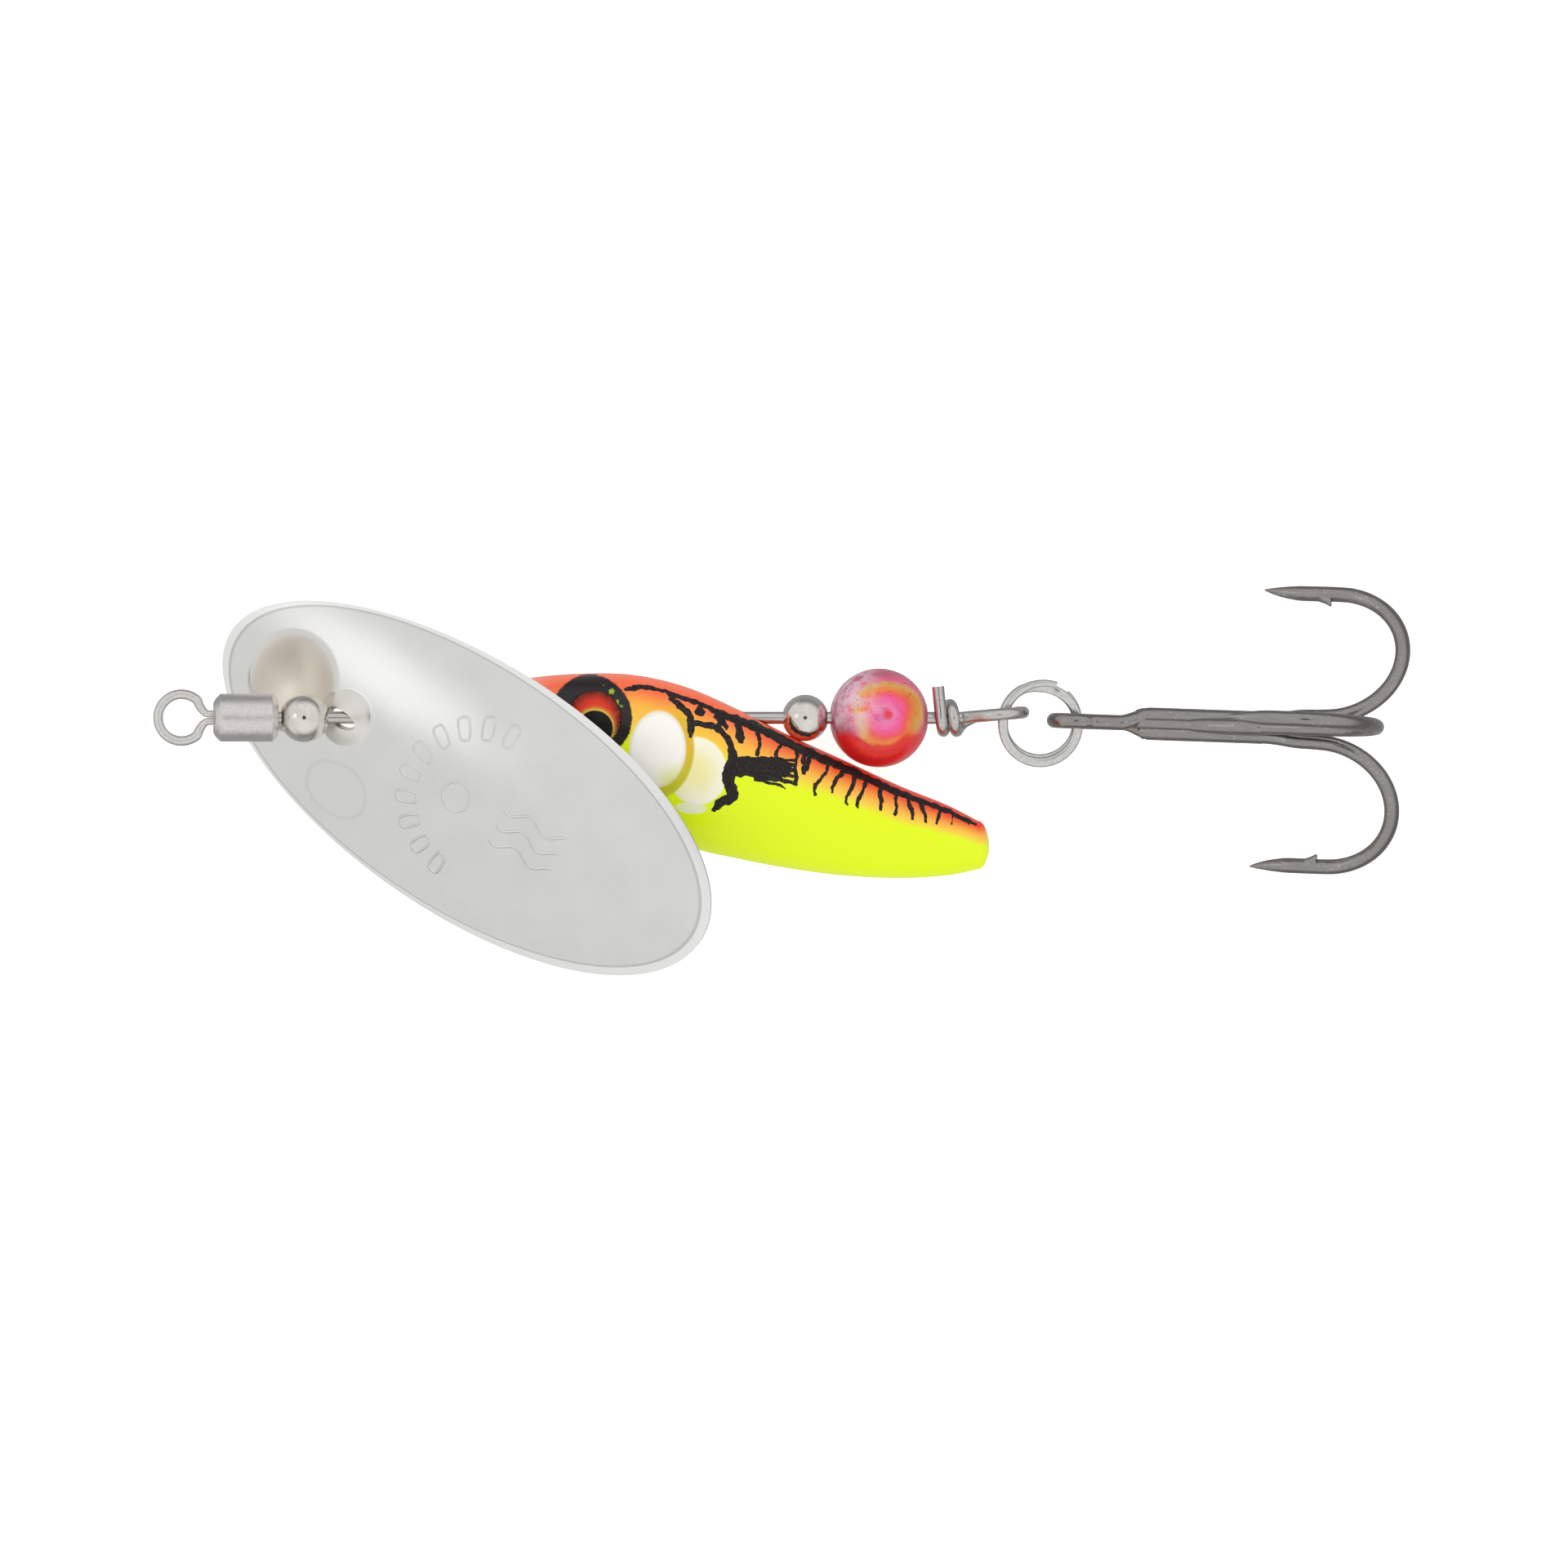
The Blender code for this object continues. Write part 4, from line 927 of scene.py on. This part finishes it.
class LURE_OT_shaft(bpy.types.Operator):
    """Bends the shaft wire: upset head, straight run, closed loop and two close wraps."""

    bl_idname = "lure.shaft"
    bl_label = "Shaft wire"

    def execute(self, context):
        r = sizes().wire / MM
        neck = 10.0
        slant = math.tan(math.radians(5.0))
        helix = 2 * r + 0.03
        head = [(X * -30.55, 0.7), (X * -30.52, 0.77), (X * -30.05, 0.78), (X * -30.0, 0.74), (X * -29.98, r)]
        straight = [X * -29.8, X * -24.0, X * -14.0, X * 0.0, X * 6.0, X * 8.0, X * neck]
        loop = arc(Vector((12.28, 0, -0.25)), 1.35, math.radians(122), math.radians(-118), 18, X, Z)
        lead = blend(straight[-1], X * 1.6, loop[0], Vector((1.3, 0, 0.9)), 5)
        wrap = []
        for i in range(33):
            a = 2 * math.pi * 1.5 * i / 32
            x = neck - helix * a / (2 * math.pi) + 0.75 * math.exp(-a / 0.4)
            wrap.append(Vector((x, -helix * math.sin(a), -helix * math.cos(a))))
        back = blend(loop[-1], Vector((-0.9, 0, 0.3)), wrap[0], Vector((-0.9, 0, 0)), 4)
        way = Vector((-0.1, 1, 0)).normalized()
        tag = [wrap[-1] + way * part for part in (0.45, 0.9, 1.35, 1.78)]
        for place in lead + loop + back:
            place.y += (place.x - neck) * slant
        path = head + [(p, r) for p in straight + lead + loop + back + wrap + tag]
        finish = finishes()["stainless_wire"]
        set_piece("shaft_wire_drawn", drawn(path, finish), LAY, finish, "shaft", ["shaft_wire"], 50)
        return {"FINISHED"}


class LURE_OT_swivel(bpy.types.Operator):
    """Turns the swivel's barrel and bends its eye."""

    bl_idname = "lure.swivel"
    bl_label = "Barrel swivel"

    def execute(self, context):
        finish = finishes()["satin_nickel"]
        front, rear, r = -32.2, -28.52, 1.36
        outline = [(front, 0.5), (front, 0.86), (front + 0.1, 1.02), (front + 0.14, 1.1), (front + 0.42, r)]
        outline += [(front + 0.5, r), (rear - 0.42, r), (rear - 0.34, r), (rear, 1.0), (rear, 0.43)]
        outline += [(rear - 0.62, 0.43), (rear - 0.62, 0.98), (front + 0.62, 0.98), (front + 0.62, 0.5)]
        mesh = lathe(rounded(outline, 0.09, 4), 120)
        set_piece("swivel_barrel_shell", mesh, LAY, finish, "swivel_barrel", ["swivel_barrel"], 60)
        leg = 0.215
        inside = X * (front + 0.87)
        mouth = X * (front - 0.25)
        start = math.radians(48)
        ring = arc(X * -33.98, 1.32, start, 2 * math.pi - start, 26, X, Y)
        lead = blend(mouth + Y * leg, X * -0.9, ring[0], Vector((-0.35, 1.0, 0)) * 0.9, 5)
        back = [Vector((p.x, -p.y, p.z)) for p in reversed(lead)]
        grow = [0.205 + 0.075 * (i + 1) / 5 for i in range(4)]
        legs = [inside + Y * leg, mouth + Y * leg]
        places = legs + lead + ring + back + [Vector((p.x, -p.y, 0)) for p in reversed(legs)]
        radii = [0.205] * 2 + grow + [0.28] * len(ring) + grow[::-1] + [0.205] * 2
        wire = drawn(list(zip(places, radii)), finish, 20)
        near = front + 0.74
        disc = [(near, 0.01), (near, 0.76), (near + 0.04, 0.8), (near + 0.46, 0.8), (near + 0.5, 0.76)]
        disc += [(near + 0.5, 0.01)]
        rings = [circle(r, x, 40, Y, Z, X) for x, r in disc]
        mesh = joined(outward(wire), skin(rings))
        set_piece("swivel_eye_wire", mesh, LAY, finish, "line_tie_eye", ["swivel_eye"], 50)
        return {"FINISHED"}


# ---------------------------------------------------------------- beads


class LURE_OT_beads(bpy.types.Operator):
    """Turns the four beads that are threaded on the wire."""

    bl_idname = "lure.beads"
    bl_label = "Beads"

    def execute(self, context):
        bore = sizes().wire / MM + 0.06
        rows = (
            ("front_bead", "blade_spin", sizes().front_bead, "polished_nickel"),
            ("bearing_bead", "bearing_bead_spin", sizes().bearing, "brass_bead"),
            ("rear_bead", "rear_bead_spin", sizes().rear_bead, "polished_nickel"),
            ("red_bead", "red_bead_spin", sizes().red_bead, "red_glass_bead"),
        )
        for body, joint, radius, slot in rows:
            mesh = lathe(bead_outline(radius / MM, bore), 112)
            pose = LAY @ Matrix.Translation(X * along_wire(joint))
            set_piece(body + "_ball", mesh, pose, finishes()[slot], body, [body], 50)
        return {"FINISHED"}


# ---------------------------------------------------------------- blade


def blade_shell():
    """A flat two-sided sheet in rings from the hole to a rounded rim."""
    length = sizes().blade_length / MM
    width = sizes().blade_width / MM
    half = sizes().blade_sheet / MM / 2
    centre, hole_at = 7.85, 0.1
    spokes, steps = 208, 84

    def reach(a):
        low, high = 0.5, length
        for _ in range(40):
            r = (low + high) / 2
            ahead = (hole_at + r * math.cos(a) - centre) / (length / 2)
            wide = width / 2 * (1 + 0.04 * ahead)
            if ahead**2 + (r * math.sin(a) / wide) ** 2 < 1:
                low = r
            else:
                high = r
        return low

    rows = []
    for j in range(spokes):
        a = 2 * math.pi * j / spokes
        a -= 0.35 * math.sin(a) + 0.2 * math.sin(2 * a)
        hole = 1 / math.hypot(math.cos(a) / 0.92, math.sin(a) / 0.42)
        rows.append((a, hole, reach(a)))
    lip = half * 0.9
    shares = [(i / steps) ** 1.25 for i in range(steps + 1)]
    rings = []
    for side in (1, -1):
        found = []
        for k in range(4):
            t = math.radians(90 * (k + 0.5) / 4)
            found.append((0.0, lip * (1 - math.sin(t)), side * half * math.sin(t)))
        found += [(t, None, side * half) for t in shares]
        for k in range(4):
            t = math.radians(90 * (k + 0.5) / 4)
            found.append((1.0, -lip * (1 - math.cos(t)), side * half * math.cos(t)))
        rings.append(found if side > 0 else found[::-1])
    made = []
    for found in rings:
        for t, shift, z in found:
            ring = []
            for a, hole, far in rows:
                inner, outer = hole + lip, far - lip
                r = inner + (outer - inner) * t
                if shift is not None:
                    r = (hole + shift) if t == 0.0 else (far + shift)
                ring.append(Vector((hole_at + r * math.cos(a), r * math.sin(a), z)))
            made.append(ring)
    return skin(made, closed=True)


def stamped_marks():
    """Plain stamped outlines: a fan of bars, a ring and three ripples."""
    paths = []

    def outline(points, thick=0.07):
        paths.append([((u, v, 10.0), thick) for u, v in points])

    centre = Vector((9.56, -0.1))
    for i in range(10):
        a = math.radians(92 + 168 * i / 9)
        way = Vector((math.cos(a), math.sin(a)))
        side = Vector((-way.y, way.x))
        corners = [(-0.22, 3.75), (0.22, 3.75), (0.34, 4.3), (0.26, 4.95), (-0.26, 4.95), (-0.34, 4.3)]
        points = [centre + side * s + way * r for s, r in corners]
        outline([tuple(p) for p in points + points[:1]])
    turns = [math.radians(15 * k) for k in range(25)]
    outline([(8.25 + 0.85 * math.cos(a), -0.28 + 0.85 * math.sin(a)) for a in turns])
    for row in (-1.3, -0.3, 0.7):
        places = [11.1 + 0.25 * k for k in range(17)]
        outline([(u, row + 0.28 * math.sin(2.6 * u)) for u in places], 0.08)
    return paths


class LURE_OT_blade(bpy.types.Operator):
    """Presses the blade from a flat sheet and stamps its plain marks."""

    bl_idname = "lure.blade"
    bl_label = "Blade"

    def execute(self, context):
        finish = finishes()["silver_plate"]
        length, width = sizes().blade_length / MM, sizes().blade_width / MM
        ahead = 7.85 / (length / 2)
        level = 1.6 * (1 - ahead**2) + 0.635
        values = {"length": length, "width": width, "level": level, "material": finish.material}
        sheet = grown(trees()["blade"], blade_shell(), **values)
        target = bpy.data.objects.new("press", sheet.copy())
        context.scene.collection.objects.link(target)
        marks = grown(
            trees()["stroke"],
            path_mesh(stamped_marks()),
            target=target,
            flatness=0.7,
            ragged=0.0,
            material=finish.material,
        )
        bpy.data.objects.remove(target)
        set_piece("blade_sheet", sheet, BLADE_POSE, finish, "blade", ["blade"], 60)
        set_piece("blade_stamping", outward(marks), BLADE_POSE, finish, "blade", (), 60)
        return {"FINISHED"}


# ---------------------------------------------------------------- body and eyes


def station_at(x):
    """Back, belly and half thickness at x, on smooth curves through the stations."""
    rows = BODY_STATIONS
    i = 0
    while i < len(rows) - 2 and x > rows[i + 1][0]:
        i += 1
    span = rows[i + 1][0] - rows[i][0]
    t = (x - rows[i][0]) / span
    before = rows[max(i - 1, 0)]
    after = rows[min(i + 2, len(rows) - 1)]
    found = []
    for k in (1, 2, 3):
        p1, p2 = rows[i][k], rows[i + 1][k]
        m1 = (p2 - before[k]) / (rows[i + 1][0] - before[0]) * span
        m2 = (after[k] - p1) / (after[0] - rows[i][0]) * span
        value = (2 * t**3 - 3 * t**2 + 1) * p1 + (t**3 - 2 * t**2 + t) * m1
        found.append(value + (-2 * t**3 + 3 * t**2) * p2 + (t**3 - t**2) * m2)
    return found


def gill_relief(x, y):
    """The pressed edges of the gill plates, below the body's even surface."""
    y = y - PAINT_SHIFT

    def far(centre, half):
        return math.hypot((x - centre[0]) / half[0], (y - centre[1]) / half[1])

    one = far(*GILL_ONE)
    two = far(*GILL_TWO)
    depth = 0.0
    if x > -7.6:
        depth += 0.1 * math.exp(-(((one - 1.1) / 0.08) ** 2))
    if one > 1.1:
        depth += 0.05 * math.exp(-(((two - 1.04) / 0.07) ** 2))
    return depth


def body_ring(x, back, belly, half, count=132):
    middle, tall = (back + belly) / 2, (back - belly) / 2
    ring = []
    for j in range(count):
        a = 2 * math.pi * j / count
        s, c = math.sin(a), math.cos(a)
        y = middle + tall * math.copysign(abs(s) ** 0.95, s)
        z = half * math.copysign(abs(c) ** 0.9, c)
        ring.append(Vector((x, y, z - math.copysign(gill_relief(x, y), z) * min(1, abs(z)))))
    return ring


def body_mesh():
    first, last = BODY_STATIONS[0][0], BODY_STATIONS[-1][0]
    rings = []
    back, belly, half = BODY_STATIONS[0][1:]
    rings.append(body_ring(first, back * 0.93, belly * 0.93, half * 0.93))
    for i in range(241):
        x = first + 0.06 + (last - first - 0.06) * i / 240
        rings.append(body_ring(x, *station_at(x)))
    back, belly, half = BODY_STATIONS[-1][1:]
    middle = (back + belly) / 2 - 0.1
    for i in range(1, 11):
        part = i / 10
        shrink = math.sqrt(max(1 - part * part, 0.09))
        low = middle + (belly - middle) * shrink
        high = middle + (back - middle) * shrink
        rings.append(body_ring(last + 0.6 * part, high, low, half * shrink))
    return skin(rings)


class LURE_OT_body(bpy.types.Operator):
    """Shapes the fish body, cuts its bore and eye sockets and lays its brushed lines."""

    bl_idname = "lure.body"
    bl_label = "Painted body"

    def execute(self, context):
        bore = sizes().wire / MM + 0.1
        cutters = [skin([circle(bore, x, 48, Y, Z, X) for x in (-19.0, 0.9)])]
        for side in (1, -1):
            socket = skin([circle(1.53, z * side, 96) for z in (1.95, 4.0)])
            socket.transform(Matrix.Translation((*EYE_PLACE, 0)))
            cutters.append(socket)
        smooth = body_mesh()
        target = bpy.data.objects.new("form", smooth)
        context.scene.collection.objects.link(target)
        lines = finishes()["brushed_lines"]
        paths = []
        for side in (1, -1):
            for i, stroke in enumerate(BRUSH_STROKES):
                path = []
                for x, y, size in stroke:
                    wide = size * (1.4 if i else 1.35 + 0.35 * math.tanh(x + 4.0))
                    highest = station_at(min(x, 11.1))[0] - wide - 0.16
                    path.append(((x, min(y + PAINT_SHIFT, highest), side * 10.0), wide))
                paths.append(path)
        strokes = grown(
            trees()["stroke"],
            path_mesh(paths),
            target=target,
            flatness=0.12,
            ragged=0.42,
            material=lines.material,
        )
        bpy.data.objects.remove(target)
        mesh = cut(smooth, cutters)
        set_piece("painted_body", mesh, BODY_POSE, finishes()["body_paint"], "lure_body", ["lure_body"], 35)
        piece = set_piece("painted_lines", outward(strokes), BODY_POSE, lines, "lure_body", (), 60)
        return {"FINISHED"}


class LURE_OT_eyes(bpy.types.Operator):
    """Makes the two printed eyes and the clear domes cast over them."""

    bl_idname = "lure.eyes"
    bl_label = "Eyes"

    def execute(self, context):
        for side, word in ((1, "near"), (-1, "far")):
            turn = Matrix.Rotation(0.0 if side > 0 else math.pi, 4, "X")
            pose = BODY_POSE @ Matrix.Translation((*EYE_PLACE, 0)) @ turn
            low, rise = 1.98, 0.14
            rings = [circle(1.5, low), circle(1.5, low + rise - 0.03), circle(1.47, low + rise)]
            for k in range(1, 9):
                rings.append(circle(1.47 * (1 - k / 9), low + rise - 0.05 * math.sin(math.pi * k / 18)))
            name = "eye_print_" + word
            set_piece(name, skin(rings), pose, finishes()["eye_print"], "lure_body", ["eye_foil_" + word])
            base = low + rise + 0.03
            rim, top = base + 0.25, 2.8
            tall = top - rim
            ball = (1.5**2 + tall * tall) / (2 * tall)
            full = math.asin(1.5 / ball)
            rings = [circle(1.46, base), circle(1.5, base + 0.04), circle(1.5, rim - 0.03)]
            for k in range(1, 20):
                a = full * (1 - k / 20)
                rings.append(circle(ball * math.sin(a), top - ball + ball * math.cos(a)))
            name = "eye_lens_" + word
            set_piece(name, skin(rings), pose, finishes()["eye_lens"], "lure_body", ["eye_dome_" + word])
        return {"FINISHED"}


# ---------------------------------------------------------------- split ring and treble


class LURE_OT_ring(bpy.types.Operator):
    """Coils the split ring nearly twice around, one coil over the other."""

    bl_idname = "lure.ring"
    bl_label = "Split ring"

    def execute(self, context):
        turns, steps = 1.94, 260
        width, coil, gap = 0.55, 0.42, 0.04
        middle = 2.4 - width / 2
        w, h = width / 2, coil / 2
        corners = [(w, h * 0.6), (w * 0.66, h), (-w * 0.66, h), (-w, h * 0.6)]
        corners += [(-w, -h * 0.6), (-w * 0.66, -h), (w * 0.66, -h), (w, -h * 0.6)]
        section = rounded(corners, 0.08, 3)
        rings = []
        for i in range(steps + 1):
            t = i / steps
            a = math.radians(47.4) - 2 * math.pi * turns * t
            slide = max(-1.0, min(1.0, (turns * t - 0.88) / 0.09))
            z = (coil + gap) / 2 * math.sin(slide * math.pi / 2)
            out = Vector((math.cos(a), math.sin(a), 0))
            lip = max(0.0, 1 - (turns - turns * t) / 0.3)
            place = out * (middle + 0.34 * lip) + Z * z + Y * 0.13 * max(0.0, -slide)
            rings.append([place + out * dr * (1 - 0.35 * lip) + Z * dz for dr, dz in section])
        finish = finishes()["ring_steel"]
        set_piece("split_ring_coil", skin(rings), RING_POSE, finish, "split_ring", ["split_ring"], 50)
        return {"FINISHED"}


def around(turn):
    out = Y * math.cos(turn) + Z * math.sin(turn)
    return lambda ahead, outwards: X * ahead + out * outwards


def hook_points(shorter=0.0, longer=0.0):
    """One hook in its own plane, from the shanks to the point: (along, outwards, radius)."""
    r = sizes().hook_wire / MM
    cluster = strand_radius()
    start = 14.15 - shorter
    low = cluster + 0.3
    found = [(10.75 - shorter, cluster, r), (start - 1.2, low * 0.93, r)]
    for i in range(15):
        a = -math.pi / 2 + math.pi * i / 14
        found.append((start + 4.05 * math.cos(a), low + 4.05 + 4.05 * math.sin(a), r))
    top = low + 8.1
    leg = 3.6 + longer
    found += [(start - (leg - 2.3), top, r), (start - (leg - 1.65), top + 0.02, r * 0.88)]
    found += [(start - (leg - 1.035), top + 0.05, r * 0.68), (start - (leg - 0.4), top + 0.11, r * 0.36)]
    found += [(start - leg, top + 0.16, r * 0.09)]
    return found


def strand_radius():
    return (2 * sizes().hook_wire / MM + 0.058) / math.sqrt(3)


def barb(turn, shorter=0.0):
    """A sliver lifted from the inner side of a hook's point."""
    r = sizes().hook_wire / MM
    place = around(turn)
    top = strand_radius() + 0.3 + 8.1
    tip = 14.15 - shorter - 3.6 + 3.1
    side = Z * math.cos(turn) - Y * math.sin(turn)
    low = top - r - 0.34
    rings = []
    for s, thin in ((-0.24, 0.5), (-0.12, 1.0), (0.12, 1.0), (0.24, 0.5)):
        drop = (low - top + r * 0.6) * thin
        ring = [place(tip - 1.1, top - r * 0.6), place(tip - 0.35, top - r * 0.6 + drop * 0.62)]
        ring += [place(tip, top - r * 0.6 + drop), place(tip - 0.08, top - r * 0.5)]
        rings.append([p + side * s for p in ring])
    return skin(rings)


class LURE_OT_treble(bpy.types.Operator):
    """Bends and brazes the treble: two hooks on one doubled wire and a third beside them."""

    bl_idname = "lure.treble"
    bl_label = "Treble hook"

    def execute(self, context):
        r = sizes().hook_wire / MM
        finish = finishes()["black_nickel"]
        sides = []
        for side, shorter, longer in ((1, 0.0, 0.85), (-1, 0.3, 0.85)):
            strand = [(self.strand(2.65 + 0.2 * i, side), r) for i in range(9)]
            place = around(math.radians(90 - 120 * side))
            sides.append(strand + [(place(s, out), size) for s, out, size in hook_points(shorter, longer)])
        start = math.radians(38)
        eye = arc(Vector((0, 0, 0)), 1.22, start, 2 * math.pi - start, 18, X, Z)
        lead = blend(sides[0][0][0], Vector((-0.9, 0, 0)), eye[0], Vector((-0.75, 0, 1.0)), 4)
        back = [Vector((p.x, p.y, -p.z)) for p in reversed(lead)]
        path = sides[0][::-1] + [(p, r) for p in lead + eye + back] + sides[1]
        double = outward(drawn(path, finish, 24, 5))
        barbs = [barb(math.radians(-30)), barb(math.radians(210), 0.3)]
        mesh = joined(double, *barbs)
        set_piece("treble_double", mesh, TREBLE_POSE, finish, "treble", ["treble_double_wire"], 50)
        turn = math.radians(87)
        place = around(turn)
        path = [(place(x, out), size) for x, out, size in self.third()]
        path += [(place(s, out), size) for s, out, size in hook_points()]
        mesh = joined(outward(drawn(path, finish, 24, 5)), barb(turn))
        set_piece("treble_third", mesh, TREBLE_POSE, finish, "treble", ["treble_third_wire"], 50)
        set_piece("treble_filler", self.braze(r), TREBLE_POSE, finish, "treble", ["treble_braze"], 50)
        return {"FINISHED"}

    def strand(self, x, side):
        """The doubled wire's centre where its two strands spread from the eye to lie abreast."""
        t = max(0.0, min(1.0, (x - 2.65) / 1.6))
        share = t * t * (3 - 2 * t)
        rise = side - (1.5 if side > 0 else -0.5) * share
        return (X * x) + (Y * side * math.sqrt(0.75) * share + Z * rise) * strand_radius()

    def third(self):
        """The third shank's start, sunk between the others: (along, outwards, radius)."""
        r = sizes().hook_wire / MM
        return (5.5, -0.15, 0.15), (6.6, 0.0, 0.3), (7.8, 0.3, 0.4), (9.3, strand_radius(), r)

    def braze(self, r):
        """The filler round the shanks: a close skin that thins to nothing at both ends."""
        rings = []
        for i in range(51):
            x = 3.0 + 8.0 * i / 50
            wires = [(self.strand(x, side).yz, r) for side in (1, -1)]
            for (x1, out1, r1), (x2, out2, r2) in zip(self.third(), self.third()[1:]):
                t = (x - x1) / (x2 - x1)
                if 0 < t <= 1:
                    wires.append((Vector((0.0, out1 + (out2 - out1) * t)), r1 + (r2 - r1) * t))
            if x > self.third()[-1][0]:
                wires.append((Vector((0.0, strand_radius())), r))
            shown = min(1.0, (x - 3.0) / 0.9, (11.0 - x) / 0.2)
            ring = []
            for j in range(120):
                a = 2 * math.pi * j / 120
                way = Vector((math.cos(a), math.sin(a)))
                reach = 0.3
                for middle, thick in wires:
                    along, across = middle.dot(way), middle.x * way.y - middle.y * way.x
                    if abs(across) < thick:
                        reach = max(reach, along + math.sqrt(thick**2 - across**2))
                reach += 0.12 * shown - 0.08
                ring.append(Vector((x, way.x * reach, way.y * reach)))
            rings.append(ring)
        return skin(rings)


# ---------------------------------------------------------------- stage

# Width of the camera's view at the wire and its shift from the body's joint
VIEW_WIDTH = 88.704
VIEW_SHIFT = (0.046, -3.7422)


class LURE_OT_stage(bpy.types.Operator):
    """Sets the pale floor, the soft lights and the camera straight above."""

    bl_idname = "lure.stage"
    bl_label = "Stage"

    def execute(self, context):
        scene = context.scene
        scene.view_settings.view_transform = "Standard"
        world = bpy.data.worlds.new("soft_studio")
        world.use_nodes = True
        scene.world = world
        graph = Graph(world.node_tree)
        spot = graph.node("ShaderNodeTexCoord", out="Generated")
        x, y, z = graph.split(spot)
        stops = [(0.0, (0.4, 0.4, 0.4)), (0.5, (0.26, 0.26, 0.265)), (0.58, (0.5, 0.5, 0.5))]
        stops += [(0.7, (0.77, 0.77, 0.77)), (1.0, (0.79, 0.79, 0.79))]
        sky = graph.node("ShaderNodeValToRGB", {"stops": stops}, {0: z * 0.5 + 0.5})
        wall = (x * -1.0).step(0.2, 0.7) * z.step(-0.3, 0.0)
        pane = ((x + 0.69) ** 2.0 + (y - 0.15) ** 2.0 + (z - 0.71) ** 2.0).root().step(0.27, 0.06)
        lens = (x * x + y * y).root().step(0.2, 0.12) * z.step(0.0, 0.5)
        for share, tone in ((wall, (0.74, 0.74, 0.73)), (pane, (1.15, 1.15, 1.15)), (lens, (0.06, 0.06, 0.06))):
            sky = graph.node("ShaderNodeMix", {"data_type": "RGBA"}, {0: share, 6: sky, 7: (*tone, 1.0)}, out=2)
        background = world.node_tree.nodes["Background"]
        world.node_tree.links.new(sky.socket, background.inputs["Color"])
        background.inputs["Strength"].default_value = 1.0

        corners = ((-0.6, -0.6), (0.6, -0.6), (0.6, 0.6), (-0.6, 0.6))
        floor = skin([[Vector((*corner, z)) for corner in corners] for z in (-0.01, -0.0002)])
        piece = bpy.data.objects.new("floor", floor)
        scene.collection.objects.link(piece)
        piece.visible_glossy = False
        paper = Finish("pale_floor", roughness=0.9)
        grain = paper.noise(paper.node("ShaderNodeTexCoord", out="Object"), 30.0, 2.0, 0.5)
        paper.feed("Base Color", paper.mix(grain, (0.8, 0.8, 0.8), (0.82, 0.82, 0.82)))
        paper.feed("Emission Color", (1.0, 1.0, 1.0))
        paper.feed("Emission Strength", 0.75)
        floor.materials.append(paper.material)

        for name, place, size, power in (
            ("key", (-0.12, 0.2, 0.5), 0.3, 0.68),
            ("fill", (0.35, -0.2, 0.4), 0.35, 0.34),
        ):
            light = bpy.data.lights.new(name, "AREA")
            light.shape = "DISK"
            light.size = size
            light.energy = power
            lamp = bpy.data.objects.new(name, light)
            lamp.visible_glossy = False
            lamp.location = place
            lamp.rotation_euler = (Vector((0, 0, 0)) - Vector(place)).to_track_quat("-Z", "Y").to_euler()
            scene.collection.objects.link(lamp)

        camera = bpy.data.cameras.new("camera")
        camera.sensor_width = 36.0
        distance = 0.6
        wire = Vector(JOINTS["body_spin"]["pos_m"])
        camera.lens = 36.0 * (distance - wire.z) / (VIEW_WIDTH * MM)
        eye = bpy.data.objects.new("camera", camera)
        eye.location = (wire.x + VIEW_SHIFT[0] * MM, wire.y + VIEW_SHIFT[1] * MM, distance)
        scene.collection.objects.link(eye)
        scene.camera = eye
        return {"FINISHED"}


class LURE_PT_panel(bpy.types.Panel):
    """Lists the sizes, colours and steps of the lure."""

    bl_idname = "LURE_PT_panel"
    bl_label = "Inline Spinner"
    bl_space_type = "VIEW_3D"
    bl_region_type = "UI"
    bl_category = "Spinner"

    def draw(self, context):
        for group in (context.scene.lure_sizes, context.scene.lure_colours):
            box = self.layout.box()
            for name in group.__annotations__:
                box.prop(group, name)
        for step in STEPS:
            self.layout.operator(step.bl_idname)


STEPS = (
    LURE_OT_shaft,
    LURE_OT_swivel,
    LURE_OT_beads,
    LURE_OT_blade,
    LURE_OT_body,
    LURE_OT_eyes,
    LURE_OT_ring,
    LURE_OT_treble,
    LURE_OT_stage,
)
CLASSES = (LureSizes, LureColours, *STEPS, LURE_PT_panel)


def register():
    for made in CLASSES:
        bpy.utils.register_class(made)
    bpy.types.Scene.lure_sizes = bpy.props.PointerProperty(type=LureSizes)
    bpy.types.Scene.lure_colours = bpy.props.PointerProperty(type=LureColours)


def unregister():
    del bpy.types.Scene.lure_colours
    del bpy.types.Scene.lure_sizes
    for made in reversed(CLASSES):
        bpy.utils.unregister_class(made)


def main():
    register()
    for step in STEPS:
        group, name = step.bl_idname.split(".")
        getattr(getattr(bpy.ops, group), name)()


if __name__ == "__main__":
    main()
